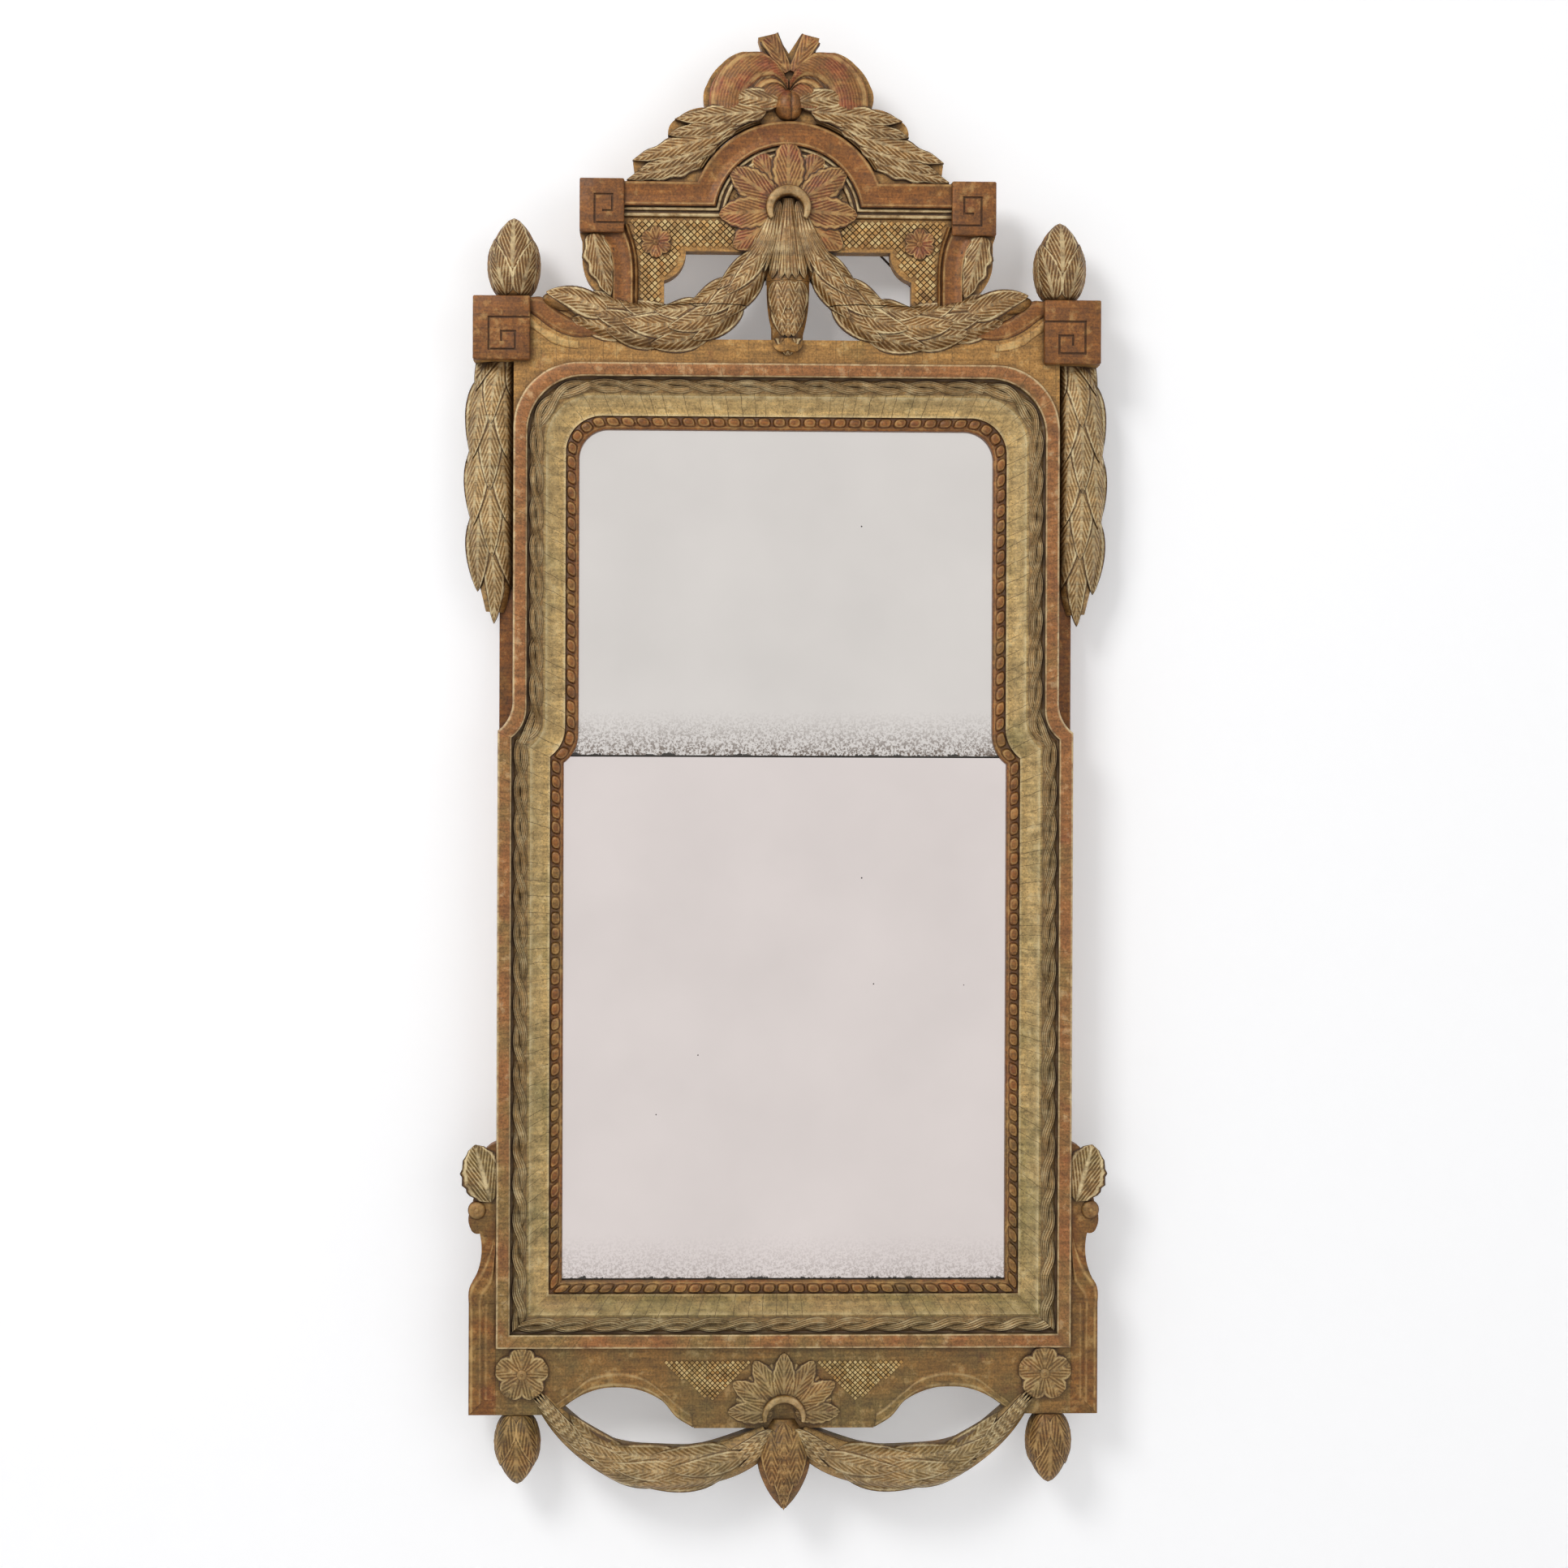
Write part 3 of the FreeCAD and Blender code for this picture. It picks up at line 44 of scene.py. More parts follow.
# Planes and places of the frame in millimetres: x right, y into the wall, z up from the moulding's top edge
FACE = -30.0
BOARD = -48.0
UP_OUTER, LOW_OUTER = 240.5, 253.5
SPLIT, SIGHT_BOTTOM, LOW = -346.0, -810.0, -867.0
MOULDING = 57.0
CORNER_OUT, CORNER_IN = 57.0, 26.0
SHOULDER, SHOULDER_DROP, SHOULDER_SKEW, STEP = -298.0, 26.0, 28.0, 13.0
SEAM = 50.5
BAND, BAND_TOP = 137.5, 158.5
ARCH_Z, ARCH_R, ARCH_IN = 126.5, 86.0, 65.0
KEY_X, CREST_X, KEY_LOW, KEY_TOP = 144.0, 183.0, 113.0, 160.5
ROSETTE_Z, APRON_ROSETTE_Z = 134.5, -923.5


# Small tools
def linear(code):
    # an sRGB hex colour as linear light
    parts = [int(code[n:n + 2], 16) / 255 for n in (1, 3, 5)]
    return [c / 12.92 if c <= 0.04045 else ((c + 0.055) / 1.055) ** 2.4 for c in parts] + [1.0]


def add(tree, kind, settings=(), **links):
    # a node with its settings and links: a link is (node, output), anything else is a value
    node = tree.nodes.new("ShaderNode" + kind)
    for key, value in dict(settings).items():
        setattr(node, key, value)
    for key, value in links.items():
        name = key.replace("_", " ")
        socket = node.inputs[int(name[1:])] if name[1:].isdigit() else node.inputs[name]
        if isinstance(value, tuple) and isinstance(value[0], bpy.types.Node):
            tree.links.new(value[0].outputs[value[1]], socket)
        else:
            socket.default_value = value
    return node


def sums(tree, operation, *values, clamp=False):
    # a Math node on two or three values or links
    links = {"_" + str(n): value for n, value in enumerate(values)}
    return add(tree, "Math", {"operation": operation, "use_clamp": clamp}, **links)


def ranged(tree, value, given=(0.0, 1.0), wanted=(0.0, 1.0)):
    # a value moved from one range to another and held there
    return add(tree, "MapRange", Value=value, From_Min=given[0], From_Max=given[1], To_Min=wanted[0],
               To_Max=wanted[1])


def stain(tree, share, under, colour):
    # a colour laid over what is under it, by a share
    return add(tree, "MixRGB", Fac=share, Color1=under, Color2=linear(colour))


def two_colours(tree, value, *stops):
    # a ramp between two stops, each a place and a colour
    ramp = add(tree, "ValToRGB", Fac=value)
    for element, (place, colour) in zip(ramp.color_ramp.elements, stops):
        element.color = linear(colour)
        element.position = place
    return ramp


def fresh_material(name):
    material = bpy.data.materials.new(name)
    material.use_nodes = True
    tree = material.node_tree
    return material, tree, tree.nodes["Principled BSDF"]


def smooth(a, b, x):
    t = np.clip((x - a) / (b - a), 0, 1)
    return t * t * (3 - 2 * t)


# Blanks: a flat grid with an underside, made once for each count of rows and columns.
# Along runs from 0 to 1, across from -1 to 1
blanks = {}


def blank(rows, cols):
    if (rows, cols) in blanks:
        return blanks[rows, cols]
    bpy.ops.object.select_all(action="DESELECT")
    bpy.ops.mesh.primitive_grid_add(x_subdivisions=rows, y_subdivisions=cols, size=2, location=(0, 0, 0))
    grid = bpy.context.object
    bpy.ops.object.mode_set(mode="EDIT")
    bpy.ops.mesh.select_all(action="SELECT")
    bpy.ops.mesh.extrude_region_move(TRANSFORM_OT_translate={"value": (0, 0, -1)})
    bpy.ops.mesh.dissolve_faces()
    bpy.ops.mesh.select_all(action="SELECT")
    bpy.ops.mesh.normals_make_consistent(inside=False)
    bpy.ops.object.mode_set(mode="OBJECT")
    mesh = grid.data
    points = np.array([v.co[:] for v in mesh.vertices])
    faces = [tuple(p.vertices) for p in mesh.polygons]
    bpy.data.objects.remove(grid)
    blanks[rows, cols] = ((points[:, 0] + 1) / 2, points[:, 1], points[:, 2] < -0.5, faces)
    return blanks[rows, cols]


class Carving:
    """Pieces of one carved part gathered into one object."""

    def __init__(self):
        self.points, self.faces, self.kinds = [], [], []
        self.wear, self.tone, self.run, self.vein = [], [], [], []
        self.count = 0

    def put(self, points, faces, wear, tone=0.5, kind=0, run=0.0, vein=(0.0, 0.0, 0.0)):
        self.points.append(points)
        self.vein.append(np.broadcast_to(vein, (len(points), 3)))
        self.run.append(np.broadcast_to(run * MM, len(points)))
        self.faces += [tuple(n + self.count for n in face) for face in faces]
        self.wear.append(np.broadcast_to(wear, len(points)))
        self.tone.append(np.broadcast_to(tone, len(points)))
        self.kinds += list(np.broadcast_to(kind, len(faces)))
        self.count += len(points)

    def build(self, name, materials, flip=False):
        points = np.concatenate(self.points) * MM
        faces = self.faces
        if flip:
            points = points * (-1, 1, 1)
            faces = [face[::-1] for face in faces]
        mesh = bpy.data.meshes.new("gilt_" + name)
        mesh.from_pydata(points.tolist(), [], faces)
        for label, values in (("wear", self.wear), ("tone", self.tone), ("run", self.run)):
            layer = mesh.attributes.new(label, "FLOAT", "POINT")
            layer.data.foreach_set("value", np.concatenate(values).astype(np.float32))
        layer = mesh.attributes.new("vein", "FLOAT_VECTOR", "POINT")
        layer.data.foreach_set("vector", np.concatenate(self.vein).astype(np.float32).ravel())
        for material in materials:
            mesh.materials.append(material)
        mesh.polygons.foreach_set("material_index", np.array(self.kinds, dtype=np.int32))
        thing = bpy.data.objects.new("gilt_" + name, mesh)
        bpy.context.collection.objects.link(thing)
        choose(thing)
        bpy.ops.object.shade_smooth_by_angle(angle=math.radians(CREASE_ANGLE))
        return thing

    def piece(self, name, slot, materials, nodes=(), flip=False):
        return keep(self.build(name, materials, flip), nodes)


def choose(thing):
    bpy.ops.object.select_all(action="DESELECT")
    thing.select_set(True)
    bpy.context.view_layer.objects.active = thing


def keep(thing, nodes=()):
    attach(thing, "frame")
    if nodes:
        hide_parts(*nodes)
    return thing


def both_sides(carving, name, slot, materials, node=None):
    for side, flip in (("right", False), ("left", True)):
        nodes = (node + "_" + side,) if node else ()
        carving.piece(name + "_" + side, slot, materials, nodes, flip)


def cut(thing, at, normal):
    # saws the piece along a plane and keeps the side that the normal points away from.
    # The cut stays open, because filling the many loops of one cut can run without end
    choose(thing)
    bpy.ops.object.mode_set(mode="EDIT")
    bpy.ops.mesh.select_all(action="SELECT")
    bpy.ops.mesh.bisect(plane_co=Vector(at) * MM, plane_no=normal, use_fill=False, clear_outer=True)
    bpy.ops.object.mode_set(mode="OBJECT")
    return thing


def flat(base=BOARD):
    # a carving surface in the plane of a board: along is x, across is z
    def lay(a, b, h):
        return np.stack([a, base - h, b], axis=-1)
    return lay


def along_stations(stations, relief, base=BOARD):
    # a garland's surface: along runs in millimetres down its middle line, across is sideways
    table = np.array(stations, dtype=float)
    knots = np.concatenate([[0], np.cumsum(np.hypot(*np.diff(table[:, :2], axis=0).T))])
    fine = np.linspace(0, knots[-1], 240)
    x, z, half = (spline(knots, table[:, n], fine) for n in range(3))
    run = np.concatenate([[0], np.cumsum(np.hypot(np.diff(x), np.diff(z)))])
    widest = table[:, 2].max()
    tx, tz = np.gradient(x, run), np.gradient(z, run)
    size = np.hypot(tx, tz)
    tx, tz = tx / size, tz / size

    def lay(a, b, h):
        over = a - np.clip(a, 0, run[-1])
        px = np.interp(a, run, x) + np.interp(a, run, tx) * over
        pz = np.interp(a, run, z) + np.interp(a, run, tz) * over
        nx, nz = -np.interp(a, run, tz), np.interp(a, run, tx)
        wide = np.maximum(np.interp(a, run, half), 1)
        dome = relief * wide / widest * np.sqrt(np.clip(1 - (b / wide) ** 2, 0, 1))
        return np.stack([px + nx * b, base - dome - h, pz + nz * b], axis=-1)
    lay.length = run[-1]
    lay.half = lambda a: np.interp(a, run, half)
    return lay


def spline(knots, values, fine):
    # a smooth curve through the values
    slopes = np.gradient(values, knots)
    n = np.clip(np.searchsorted(knots, fine) - 1, 0, len(knots) - 2)
    step = knots[n + 1] - knots[n]
    t = (fine - knots[n]) / step
    return ((2 * t ** 3 - 3 * t ** 2 + 1) * values[n] + (t ** 3 - 2 * t ** 2 + t) * step * slopes[n]
            + (-2 * t ** 3 + 3 * t ** 2) * values[n + 1] + (t ** 3 - t ** 2) * step * slopes[n + 1])


def laurel(s):
    return np.sin(math.pi * np.clip(s, 0, 1) ** 0.72) ** 0.75 * 0.94 + 0.06 * (1 - s)


def acanthus(s):
    return laurel(s) * (1 + 0.13 * np.sin(s * 24))


def tongue(s):
    return np.minimum(1, 0.55 + 0.9 * s) * np.sqrt(np.clip(1 - s ** 5, 0, 1))


def leaf(carving, lay, a, b, lean, length, width, lift=(-1.0, 2.0), arch=1.1, outline=laurel, curl=0.0,
         rows=17, cols=9, depth=3.0, tone=None, kind=0, rib=0.5, pitch=2.7, sweep=22, line=1.0):
    # one leaf on a surface: from (a, b), leaning in degrees from along, bending by curl over its length.
    # Its strokes leave the rib at the sweep angle, a pitch apart
    s, t, under, faces = blank(rows, cols)
    far = np.abs(t)
    half = outline(s) * width / 2
    turn = math.radians(lean) + curl * s / 2
    x = s * length * np.cos(turn) - t * half * np.sin(turn + curl * s / 2)
    z = s * length * np.sin(turn) + t * half * np.cos(turn + curl * s / 2)
    angle = math.radians(sweep)
    strokes = (far * half * math.cos(angle) - s * length * math.sin(angle)) / pitch
    height = lift[0] + (lift[1] - lift[0]) * s + arch * (1 - t ** 2) * np.clip(half / width * 3.2, 0, 1)
    height = height + np.where(far < 0.01, rib * (1 - s),
                               0) + 0.2 * np.cos(2 * math.pi * strokes) * (far < 0.9)
    points = lay(a + x, b + z, np.where(under, lift[0] - depth, height))
    tone = random.random() if tone is None else tone
    carving.put(points, faces, np.where(under, -1, 0), tone, kind, vein=np.stack([strokes, far,
                                                                                  np.where(under, 0, line)],
                                                                                 axis=-1))


def body(carving, lay, length, shrink, rows=40, cols=9, start=0.0):
    # the plain domed core under the leaves, with a flat back on its board
    s, t, under, faces = blank(rows, cols)
    a = start + s * (length - start)
    b = t * lay.half(a) * shrink
    points = lay(a, b, np.full(len(a), -1.2))
    points[:, 1] = np.where(under, BOARD, np.minimum(points[:, 1], BOARD))
    carving.put(points, faces, 0, tone=0.3)


def rounded(s, t, square=2.0):
    # a square blank drawn round: its two directions and how far from the middle.
    # A square above 2 makes it more oblong
    u = 2 * s - 1
    far = np.maximum(np.abs(u), np.abs(t))
    angle = np.arctan2(t, u)
    reach = far * (np.abs(np.cos(angle)) ** square + np.abs(np.sin(angle)) ** square) ** (-1 / square)
    return reach * np.cos(angle), reach * np.sin(angle), far


def dome(carving, x, z, wide, tall, relief, turn=0.0, rows=7, cols=7, wear=0.4, kind=0):
    # a low rounded boss on a board
    s, t, under, faces = blank(rows, cols)
    along, across, far = rounded(s, t)
    px, pz = along * wide / 2, across * tall / 2
    c, q = math.cos(math.radians(turn)), math.sin(math.radians(turn))
    high = relief * np.sqrt(np.clip(1 - far ** 2, 0, 1))
    points = np.stack([x + px * c - pz * q, BOARD - np.where(under, 0, high), z + px * q + pz * c], axis=-1)
    carving.put(points, faces, np.where(far < 0.99, wear, -1), tone=0.5, kind=kind)


# Materials. Old water gilding: ochre leaf over red clay, pale on rubbed ridges,
# brown and green with grime in the cuts, and darkened in the cuts and hollows by painted shade
CUT_GRIME_AND_SHADE, GROOVE_GRIME_AND_SHADE, HOLLOW_GRIME_AND_SHADE = "#432b15", "#3f2812", "#3b2612"
SPECK_BROWN, CRACK_BROWN = "#46301a", "#4c3a20"


def gilded_ground(tree, spot, cloud, height, ground, olive, red, red_share):
    # ochre that turns greener in clouds and towards the foot of the frame, with red clay showing through
    low = ranged(tree, (height, "Z"), (0.0, -0.75), (-0.16, 0.04))
    green = sums(tree, "ADD", (cloud, "Fac"), (low, "Result"))
    green = ranged(tree, (green, 0), (0.42, 0.66))
    tint = stain(tree, (green, "Result"), linear(ground), olive)
    clay = add(tree, "TexNoise", {"noise_dimensions": "4D"}, Vector=spot, W=3.0, Scale=34.0, Detail=6.0,
               Roughness=0.7)
    start = 0.66 - 0.3 * red_share
    clay = ranged(tree, (clay, "Fac"), (start, start + 0.1), (0.0, min(1.0, 0.35 + red_share)))
    return stain(tree, (clay, "Result"), (tint, "Color"), red)


def leaf_tone(tree, spot, mottle, grain):
    # difference from leaf to leaf, of the grain and of the mottling
    tone = add(tree, "Attribute", {"attribute_name": "tone"})
    tone = ranged(tree, (tone, "Fac"), wanted=(0.85, 1.12))
    shade = ranged(tree, (grain, "Fac"), (0.3, 0.7), (0.55, 1.45))
    tone = sums(tree, "MULTIPLY", (tone, "Result"), (shade, "Result"))
    blotch = ranged(tree, (mottle, "Fac"), (0.36, 0.64), (0.76, 1.22))
    tone = sums(tree, "MULTIPLY", (tone, 0), (blotch, "Result"))
    # brush streaks of about 3 by 40 mm along the boards
    streak = add(tree, "Mapping", Vector=spot, Scale=(24.0, 60.0, 330.0))
    streak = add(tree, "TexNoise", Vector=(streak, "Vector"), Scale=1.0, Detail=4.0, Roughness=0.65)
    streak = ranged(tree, (streak, "Fac"), (0.35, 0.65), (0.74, 1.26))
    return sums(tree, "MULTIPLY", (tone, 0), (streak, "Result"))


def leaf_strokes(tree, mottle, vein):
    # strokes of a leaf: pale ridges between dark cuts, a pale rib and rim, a dark outline; the dark cuts and
    # outline are grime with painted shade
    stroke = sums(tree, "MULTIPLY_ADD", (mottle, "Fac"), 0.7, (vein, "X"))
    stroke = sums(tree, "PINGPONG", (stroke, 0), 0.5)
    groove = ranged(tree, (stroke, 0), (0.3, 0.46), (0.0, 0.62))
    outline = ranged(tree, (vein, "Y"), (0.88, 0.95))
    groove = sums(tree, "MAXIMUM", (groove, "Result"), (outline, "Result"))
    groove = sums(tree, "MULTIPLY", (groove, 0), (vein, "Z"))
    crest = ranged(tree, (stroke, 0), (0.2, 0.05), (0.0, 0.78))
    spine = ranged(tree, (vein, "Y"), (0.14, 0.05))
    rim = sums(tree, "COMPARE", (vein, "Y"), 0.8, 0.07)
    crest = sums(tree, "MAXIMUM", (crest, "Result"), (spine, "Result"))
    crest = sums(tree, "MAXIMUM", (crest, 0), (rim, 0))
    crest = sums(tree, "SUBTRACT", (crest, 0), (outline, "Result"), clamp=True)
    crest = sums(tree, "MULTIPLY", (crest, 0), (vein, "Z"))
    return stroke, groove, crest


def rubbed_share(tree, mottle, wear, crest, pale_share):
    # how far ridges and crests are rubbed pale
    rub = ranged(tree, (mottle, "Fac"), (0.36, 0.58), (0.15, 1.0))
    ridge = ranged(tree, (wear, "Fac"), (0.2, 0.9))
    ridge = sums(tree, "MAXIMUM", (ridge, "Result"), (crest, 0))
    ridge = sums(tree, "MULTIPLY", (ridge, 0), pale_share)
    return sums(tree, "MULTIPLY", (ridge, 0), (rub, "Result"), clamp=True)


def hairline_cracks(tree, mottle, cloud, run, crack):
    # hairline shrinkage cracks across the gesso, 10 to 20 mm apart
    waver = sums(tree, "MULTIPLY_ADD", (mottle, "Fac"), 0.004, run)
    lines = {"feature": "DISTANCE_TO_EDGE", "voronoi_dimensions": "1D"}
    lines = add(tree, "TexVoronoi", lines, W=(waver, 0), Scale=75.0)
    line = ranged(tree, (lines, "Distance"), (0.016, 0.032), (crack, 0.0))
    gate = ranged(tree, (cloud, "Fac"), (0.4, 0.5), (0.3, 1.0))
    return sums(tree, "MULTIPLY", (line, "Result"), (gate, "Result"))


def gilding(name, ground, olive, pale, red, red_share, pale_share, crack=0.0, speck=0.3, across="run"):
    material, tree, shader = fresh_material(name)
    spot = (add(tree, "TexCoord"), "Object")
    # clouds of about 45 mm, mottling of 10 mm, grain of 2 mm
    cloud = add(tree, "TexNoise", Vector=spot, Scale=22.0, Detail=4.0, Roughness=0.6)
    mottle = add(tree, "TexNoise", Vector=spot, Scale=95.0, Detail=6.0, Roughness=0.65)
    grain = add(tree, "TexNoise", Vector=spot, Scale=520.0, Detail=3.0, Roughness=0.6)
    height = add(tree, "SeparateXYZ", Vector=spot)
    tint = gilded_ground(tree, spot, cloud, height, ground, olive, red, red_share)
    tone = leaf_tone(tree, spot, mottle, grain)
    tint = add(tree, "MixRGB", {"blend_type": "MULTIPLY"}, Fac=1.0, Color1=(tint, "Color"), Color2=(tone, 0))
    # dark cuts of grime and painted shade, and pale rubbed ridges of the carving
    wear = add(tree, "Attribute", {"attribute_name": "wear"})
    # painted shade with grime: below-zero values darken the grooves, the feet of beads and the edges where
    # pieces meet the board
    cuts = ranged(tree, (wear, "Fac"), (-0.15, -0.9), (0.0, 0.85))
    tint = stain(tree, (cuts, "Result"), (tint, "Color"), CUT_GRIME_AND_SHADE)
    vein = add(tree, "Attribute", {"attribute_name": "vein"})
    vein = add(tree, "SeparateXYZ", Vector=(vein, "Vector"))
    stroke, groove, crest = leaf_strokes(tree, mottle, vein)
    # painted shade with grime: dark lines in the leaf strokes' grooves and along their outline
    tint = stain(tree, (groove, 0), (tint, "Color"), GROOVE_GRIME_AND_SHADE)
    rub = rubbed_share(tree, mottle, wear, crest, pale_share)
    tint = stain(tree, (rub, 0), (tint, "Color"), pale)
    # bare patches of pale leaf, dark specks, and brown grime with painted shade in the hollows
    bare = ranged(tree, (mottle, "Fac"), (0.56, 0.69), (0.0, 0.42))
    tint = stain(tree, (bare, "Result"), (tint, "Color"), pale)
    dots = ranged(tree, (grain, "Fac"), (0.62, 0.7), (0.0, speck))
    tint = stain(tree, (dots, "Result"), (tint, "Color"), SPECK_BROWN)
    # painted shade with grime: ambient occlusion darkens recesses and the joins between pieces
    hollow = add(tree, "AmbientOcclusion", {"samples": 6}, Distance=0.006)
    hollow = ranged(tree, (hollow, "AO"), (0.85, 0.35), (0.0, 0.85))
    tint = stain(tree, (hollow, "Result"), (tint, "Color"), HOLLOW_GRIME_AND_SHADE)
    if crack:
        run = (height, across)
        if across == "run":
            run = (add(tree, "Attribute", {"attribute_name": "run"}), "Fac")
        line = hairline_cracks(tree, mottle, cloud, run, crack)
        tint = stain(tree, (line, 0), (tint, "Color"), CRACK_BROWN)
    carved = sums(tree, "MULTIPLY", (stroke, 0), (vein, "Z"))
    carved = sums(tree, "MULTIPLY_ADD", (carved, 0), -1.6, (mottle, "Fac"))
    relief = add(tree, "Bump", Strength=0.5, Distance=0.0008, Height=(carved, 0))
    gloss = ranged(tree, (mottle, "Fac"), (0.3, 0.7), (0.42, 0.66))
    tree.links.new(tint.outputs["Color"], shader.inputs["Base Color"])
    tree.links.new(relief.outputs["Normal"], shader.inputs["Normal"])
    tree.links.new(gloss.outputs["Result"], shader.inputs["Roughness"])
    shader.inputs["Metallic"].default_value = 0.25
    return material


carved_gilding = gilding("carved_water_gilding", "#855c28", "#7a6230", "#dcc697", "#7b4824", red_share=0.2,
                         pale_share=1.0, crack=0.25, across="Z")
red_gilding = gilding("rubbed_gilding_over_red_clay", "#855525", "#7b5c30", "#c9a468", "#854222",
                      red_share=0.6, pale_share=0.75)
foot_gilding = gilding("carved_gilding_below", "#7c5222", "#735929", "#c4a066", "#744420", red_share=0.2,
                       pale_share=0.9, crack=0.25, across="Z")
board_gilding = gilding("board_gilding", "#ac7e41", "#967a40", "#d2b981", "#8f5b30", red_share=0.25,
                        pale_share=0.9, crack=0.45, across="X")
apron_gilding = gilding("apron_gilding", "#8d6632", "#7b6538", "#c5ab78", "#7d4b29", red_share=0.25,
                        pale_share=0.8, crack=0.4, across="X")
band_gilding = gilding("band_gilding", "#814f1f", "#7b5b2b", "#c9a468", "#77421e", red_share=0.35,
                       pale_share=0.9, speck=0.35)
cove_gilding = gilding("cove_gilding", "#b5965e", "#93804e", "#dac99c", "#9a6f3b", red_share=0.05,
                       pale_share=0.9, crack=0.7, speck=0.8)
low_cove_gilding = gilding("low_cove_gilding", "#9a7c4a", "#83703f", "#cbb584", "#85602f", red_share=0.05,
                           pale_share=0.9, crack=0.7, speck=0.8)
drop_gilding = gilding("pale_carved_gilding", "#a07c48", "#8a7040", "#dccba0", "#8c5d30", red_share=0.1,
                       pale_share=0.9, crack=0.45, across="Z", speck=0.45)
fillet_gilding = gilding("fillet_gilding", "#936033", "#8a6c3b", "#d8c193", "#86492a", red_share=0.3,
                         pale_share=1.0, crack=0.5, speck=0.45)


def pine():
    # bare old softwood: brown with age, long grain upright
    material, tree, shader = fresh_material("old_pine")
    place = add(tree, "TexCoord")
    stretch = add(tree, "Mapping", Vector=(place, "Object"), Scale=(160.0, 160.0, 9.0))
    grain = add(tree, "TexNoise", Vector=(stretch, "Vector"), Scale=1.0, Detail=6.0, Roughness=0.6)
    ramp = two_colours(tree, (grain, "Fac"), (0.32, "#5e4126"), (0.68, "#a1784a"))
    tree.links.new(ramp.outputs["Color"], shader.inputs["Base Color"])
    relief = add(tree, "Bump", Strength=0.3, Distance=0.0006, Height=(grain, "Fac"))
    tree.links.new(relief.outputs["Normal"], shader.inputs["Normal"])
    shader.inputs["Roughness"].default_value = 0.8
    return material


def iron():
    # drawn and forged iron, dark with rust bloom
    material, tree, shader = fresh_material("dark_iron")
    place = add(tree, "TexCoord")
    bloom = add(tree, "TexNoise", Vector=(place, "Object"), Scale=300.0, Detail=5.0)
    ramp = two_colours(tree, (bloom, "Fac"), (0.45, "#2b2724"), (0.68, "#5e4030"))
    tree.links.new(ramp.outputs["Color"], shader.inputs["Base Color"])
    shader.inputs["Metallic"].default_value = 0.7
    shader.inputs["Roughness"].default_value = 0.55
    return material


def silvered(name, tint, foot, fox):
    # old tin-mercury mirror plate: soft grey, brown grain above its lower edge, black where the tin has gone
    material, tree, shader = fresh_material(name)
    place = add(tree, "TexCoord")
    spot = (place, "Object")
    height = add(tree, "SeparateXYZ", Vector=spot)
    cloud = add(tree, "TexNoise", Vector=spot, Scale=9.0, Detail=3.0)
    grain = add(tree, "TexNoise", Vector=spot, Scale=520.0, Detail=3.0, Roughness=0.7)
    veil = ranged(tree, (cloud, "Fac"), (0.3, 0.7), (0.96, 1.03))
    base = add(tree, "MixRGB", {"blend_type": "MULTIPLY"}, Fac=1.0, Color1=linear(tint),
               Color2=(veil, "Result"))
    above = sums(tree, "SUBTRACT", (height, "Z"), foot * MM)
    rim = ranged(tree, (above, 0), (0.0, 0.045), (fox, 0.0))
    rim = sums(tree, "POWER", (rim, "Result"), 1.7)
    fleck = ranged(tree, (grain, "Fac"), (0.45, 0.58))
    brown = sums(tree, "MULTIPLY", (rim, 0), (fleck, "Result"), clamp=True)
    base = stain(tree, (brown, 0), (base, "Color"), "#523a22")
    # chipped black edge at the foot and a few stray specks
    ragged = add(tree, "TexNoise", Vector=spot, Scale=110.0, Detail=5.0, Roughness=0.7)
    reach = ranged(tree, (ragged, "Fac"), (0.5, 0.85), (0.0013, 0.006))
    edge = sums(tree, "LESS_THAN", (above, 0), (reach, "Result"))
    specks = add(tree, "TexVoronoi", Vector=spot, Scale=26.0, Randomness=1.0)
    tiny = sums(tree, "LESS_THAN", (specks, "Distance"), 0.018)
    black = sums(tree, "MAXIMUM", (edge, 0), (tiny, 0))
    base = stain(tree, (black, 0), (base, "Color"), "#35302a")
    tree.links.new(base.outputs["Color"], shader.inputs["Base Color"])
    spoilt = sums(tree, "MAXIMUM", (black, 0), (brown, 0))
    shine = ranged(tree, (spoilt, 0), wanted=(0.95, 0.1))
    tree.links.new(shine.outputs["Result"], shader.inputs["Metallic"])
    haze = ranged(tree, (brown, 0), wanted=(0.12, 0.16))
    tree.links.new(haze.outputs["Result"], shader.inputs["Roughness"])
    return material


old_pine = pine()
dark_iron = iron()


def dress(material, *names):
    for name in names:
        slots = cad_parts[name].data.materials
        slots.clear()
        slots.append(material)


dress(old_pine, "top_rail", "bottom_rail", "backboard_lower", "backboard_middle", "backboard_upper",
      "glue_blocks", "crest_batten", "finial_dowels")
dress(board_gilding, "crest_board", "top_plank")
dress(apron_gilding, "apron_board")
dress(band_gilding, "stile_left", "stile_right", "side_ear_left", "side_ear_right", "corner_blocks",
      "crest_block_left", "crest_block_right")
dress(dark_iron, "hanging_wire", "screw_eyes", "batten_screws", "backboard_nails")
dress(silvered("upper_mirror_plate", "#d7d2ce", SPLIT, fox=1.0), "mirror_plate_upper")
dress(silvered("lower_mirror_plate", "#dad1ce", SIGHT_BOTTOM, fox=0.6), "mirror_plate_lower")


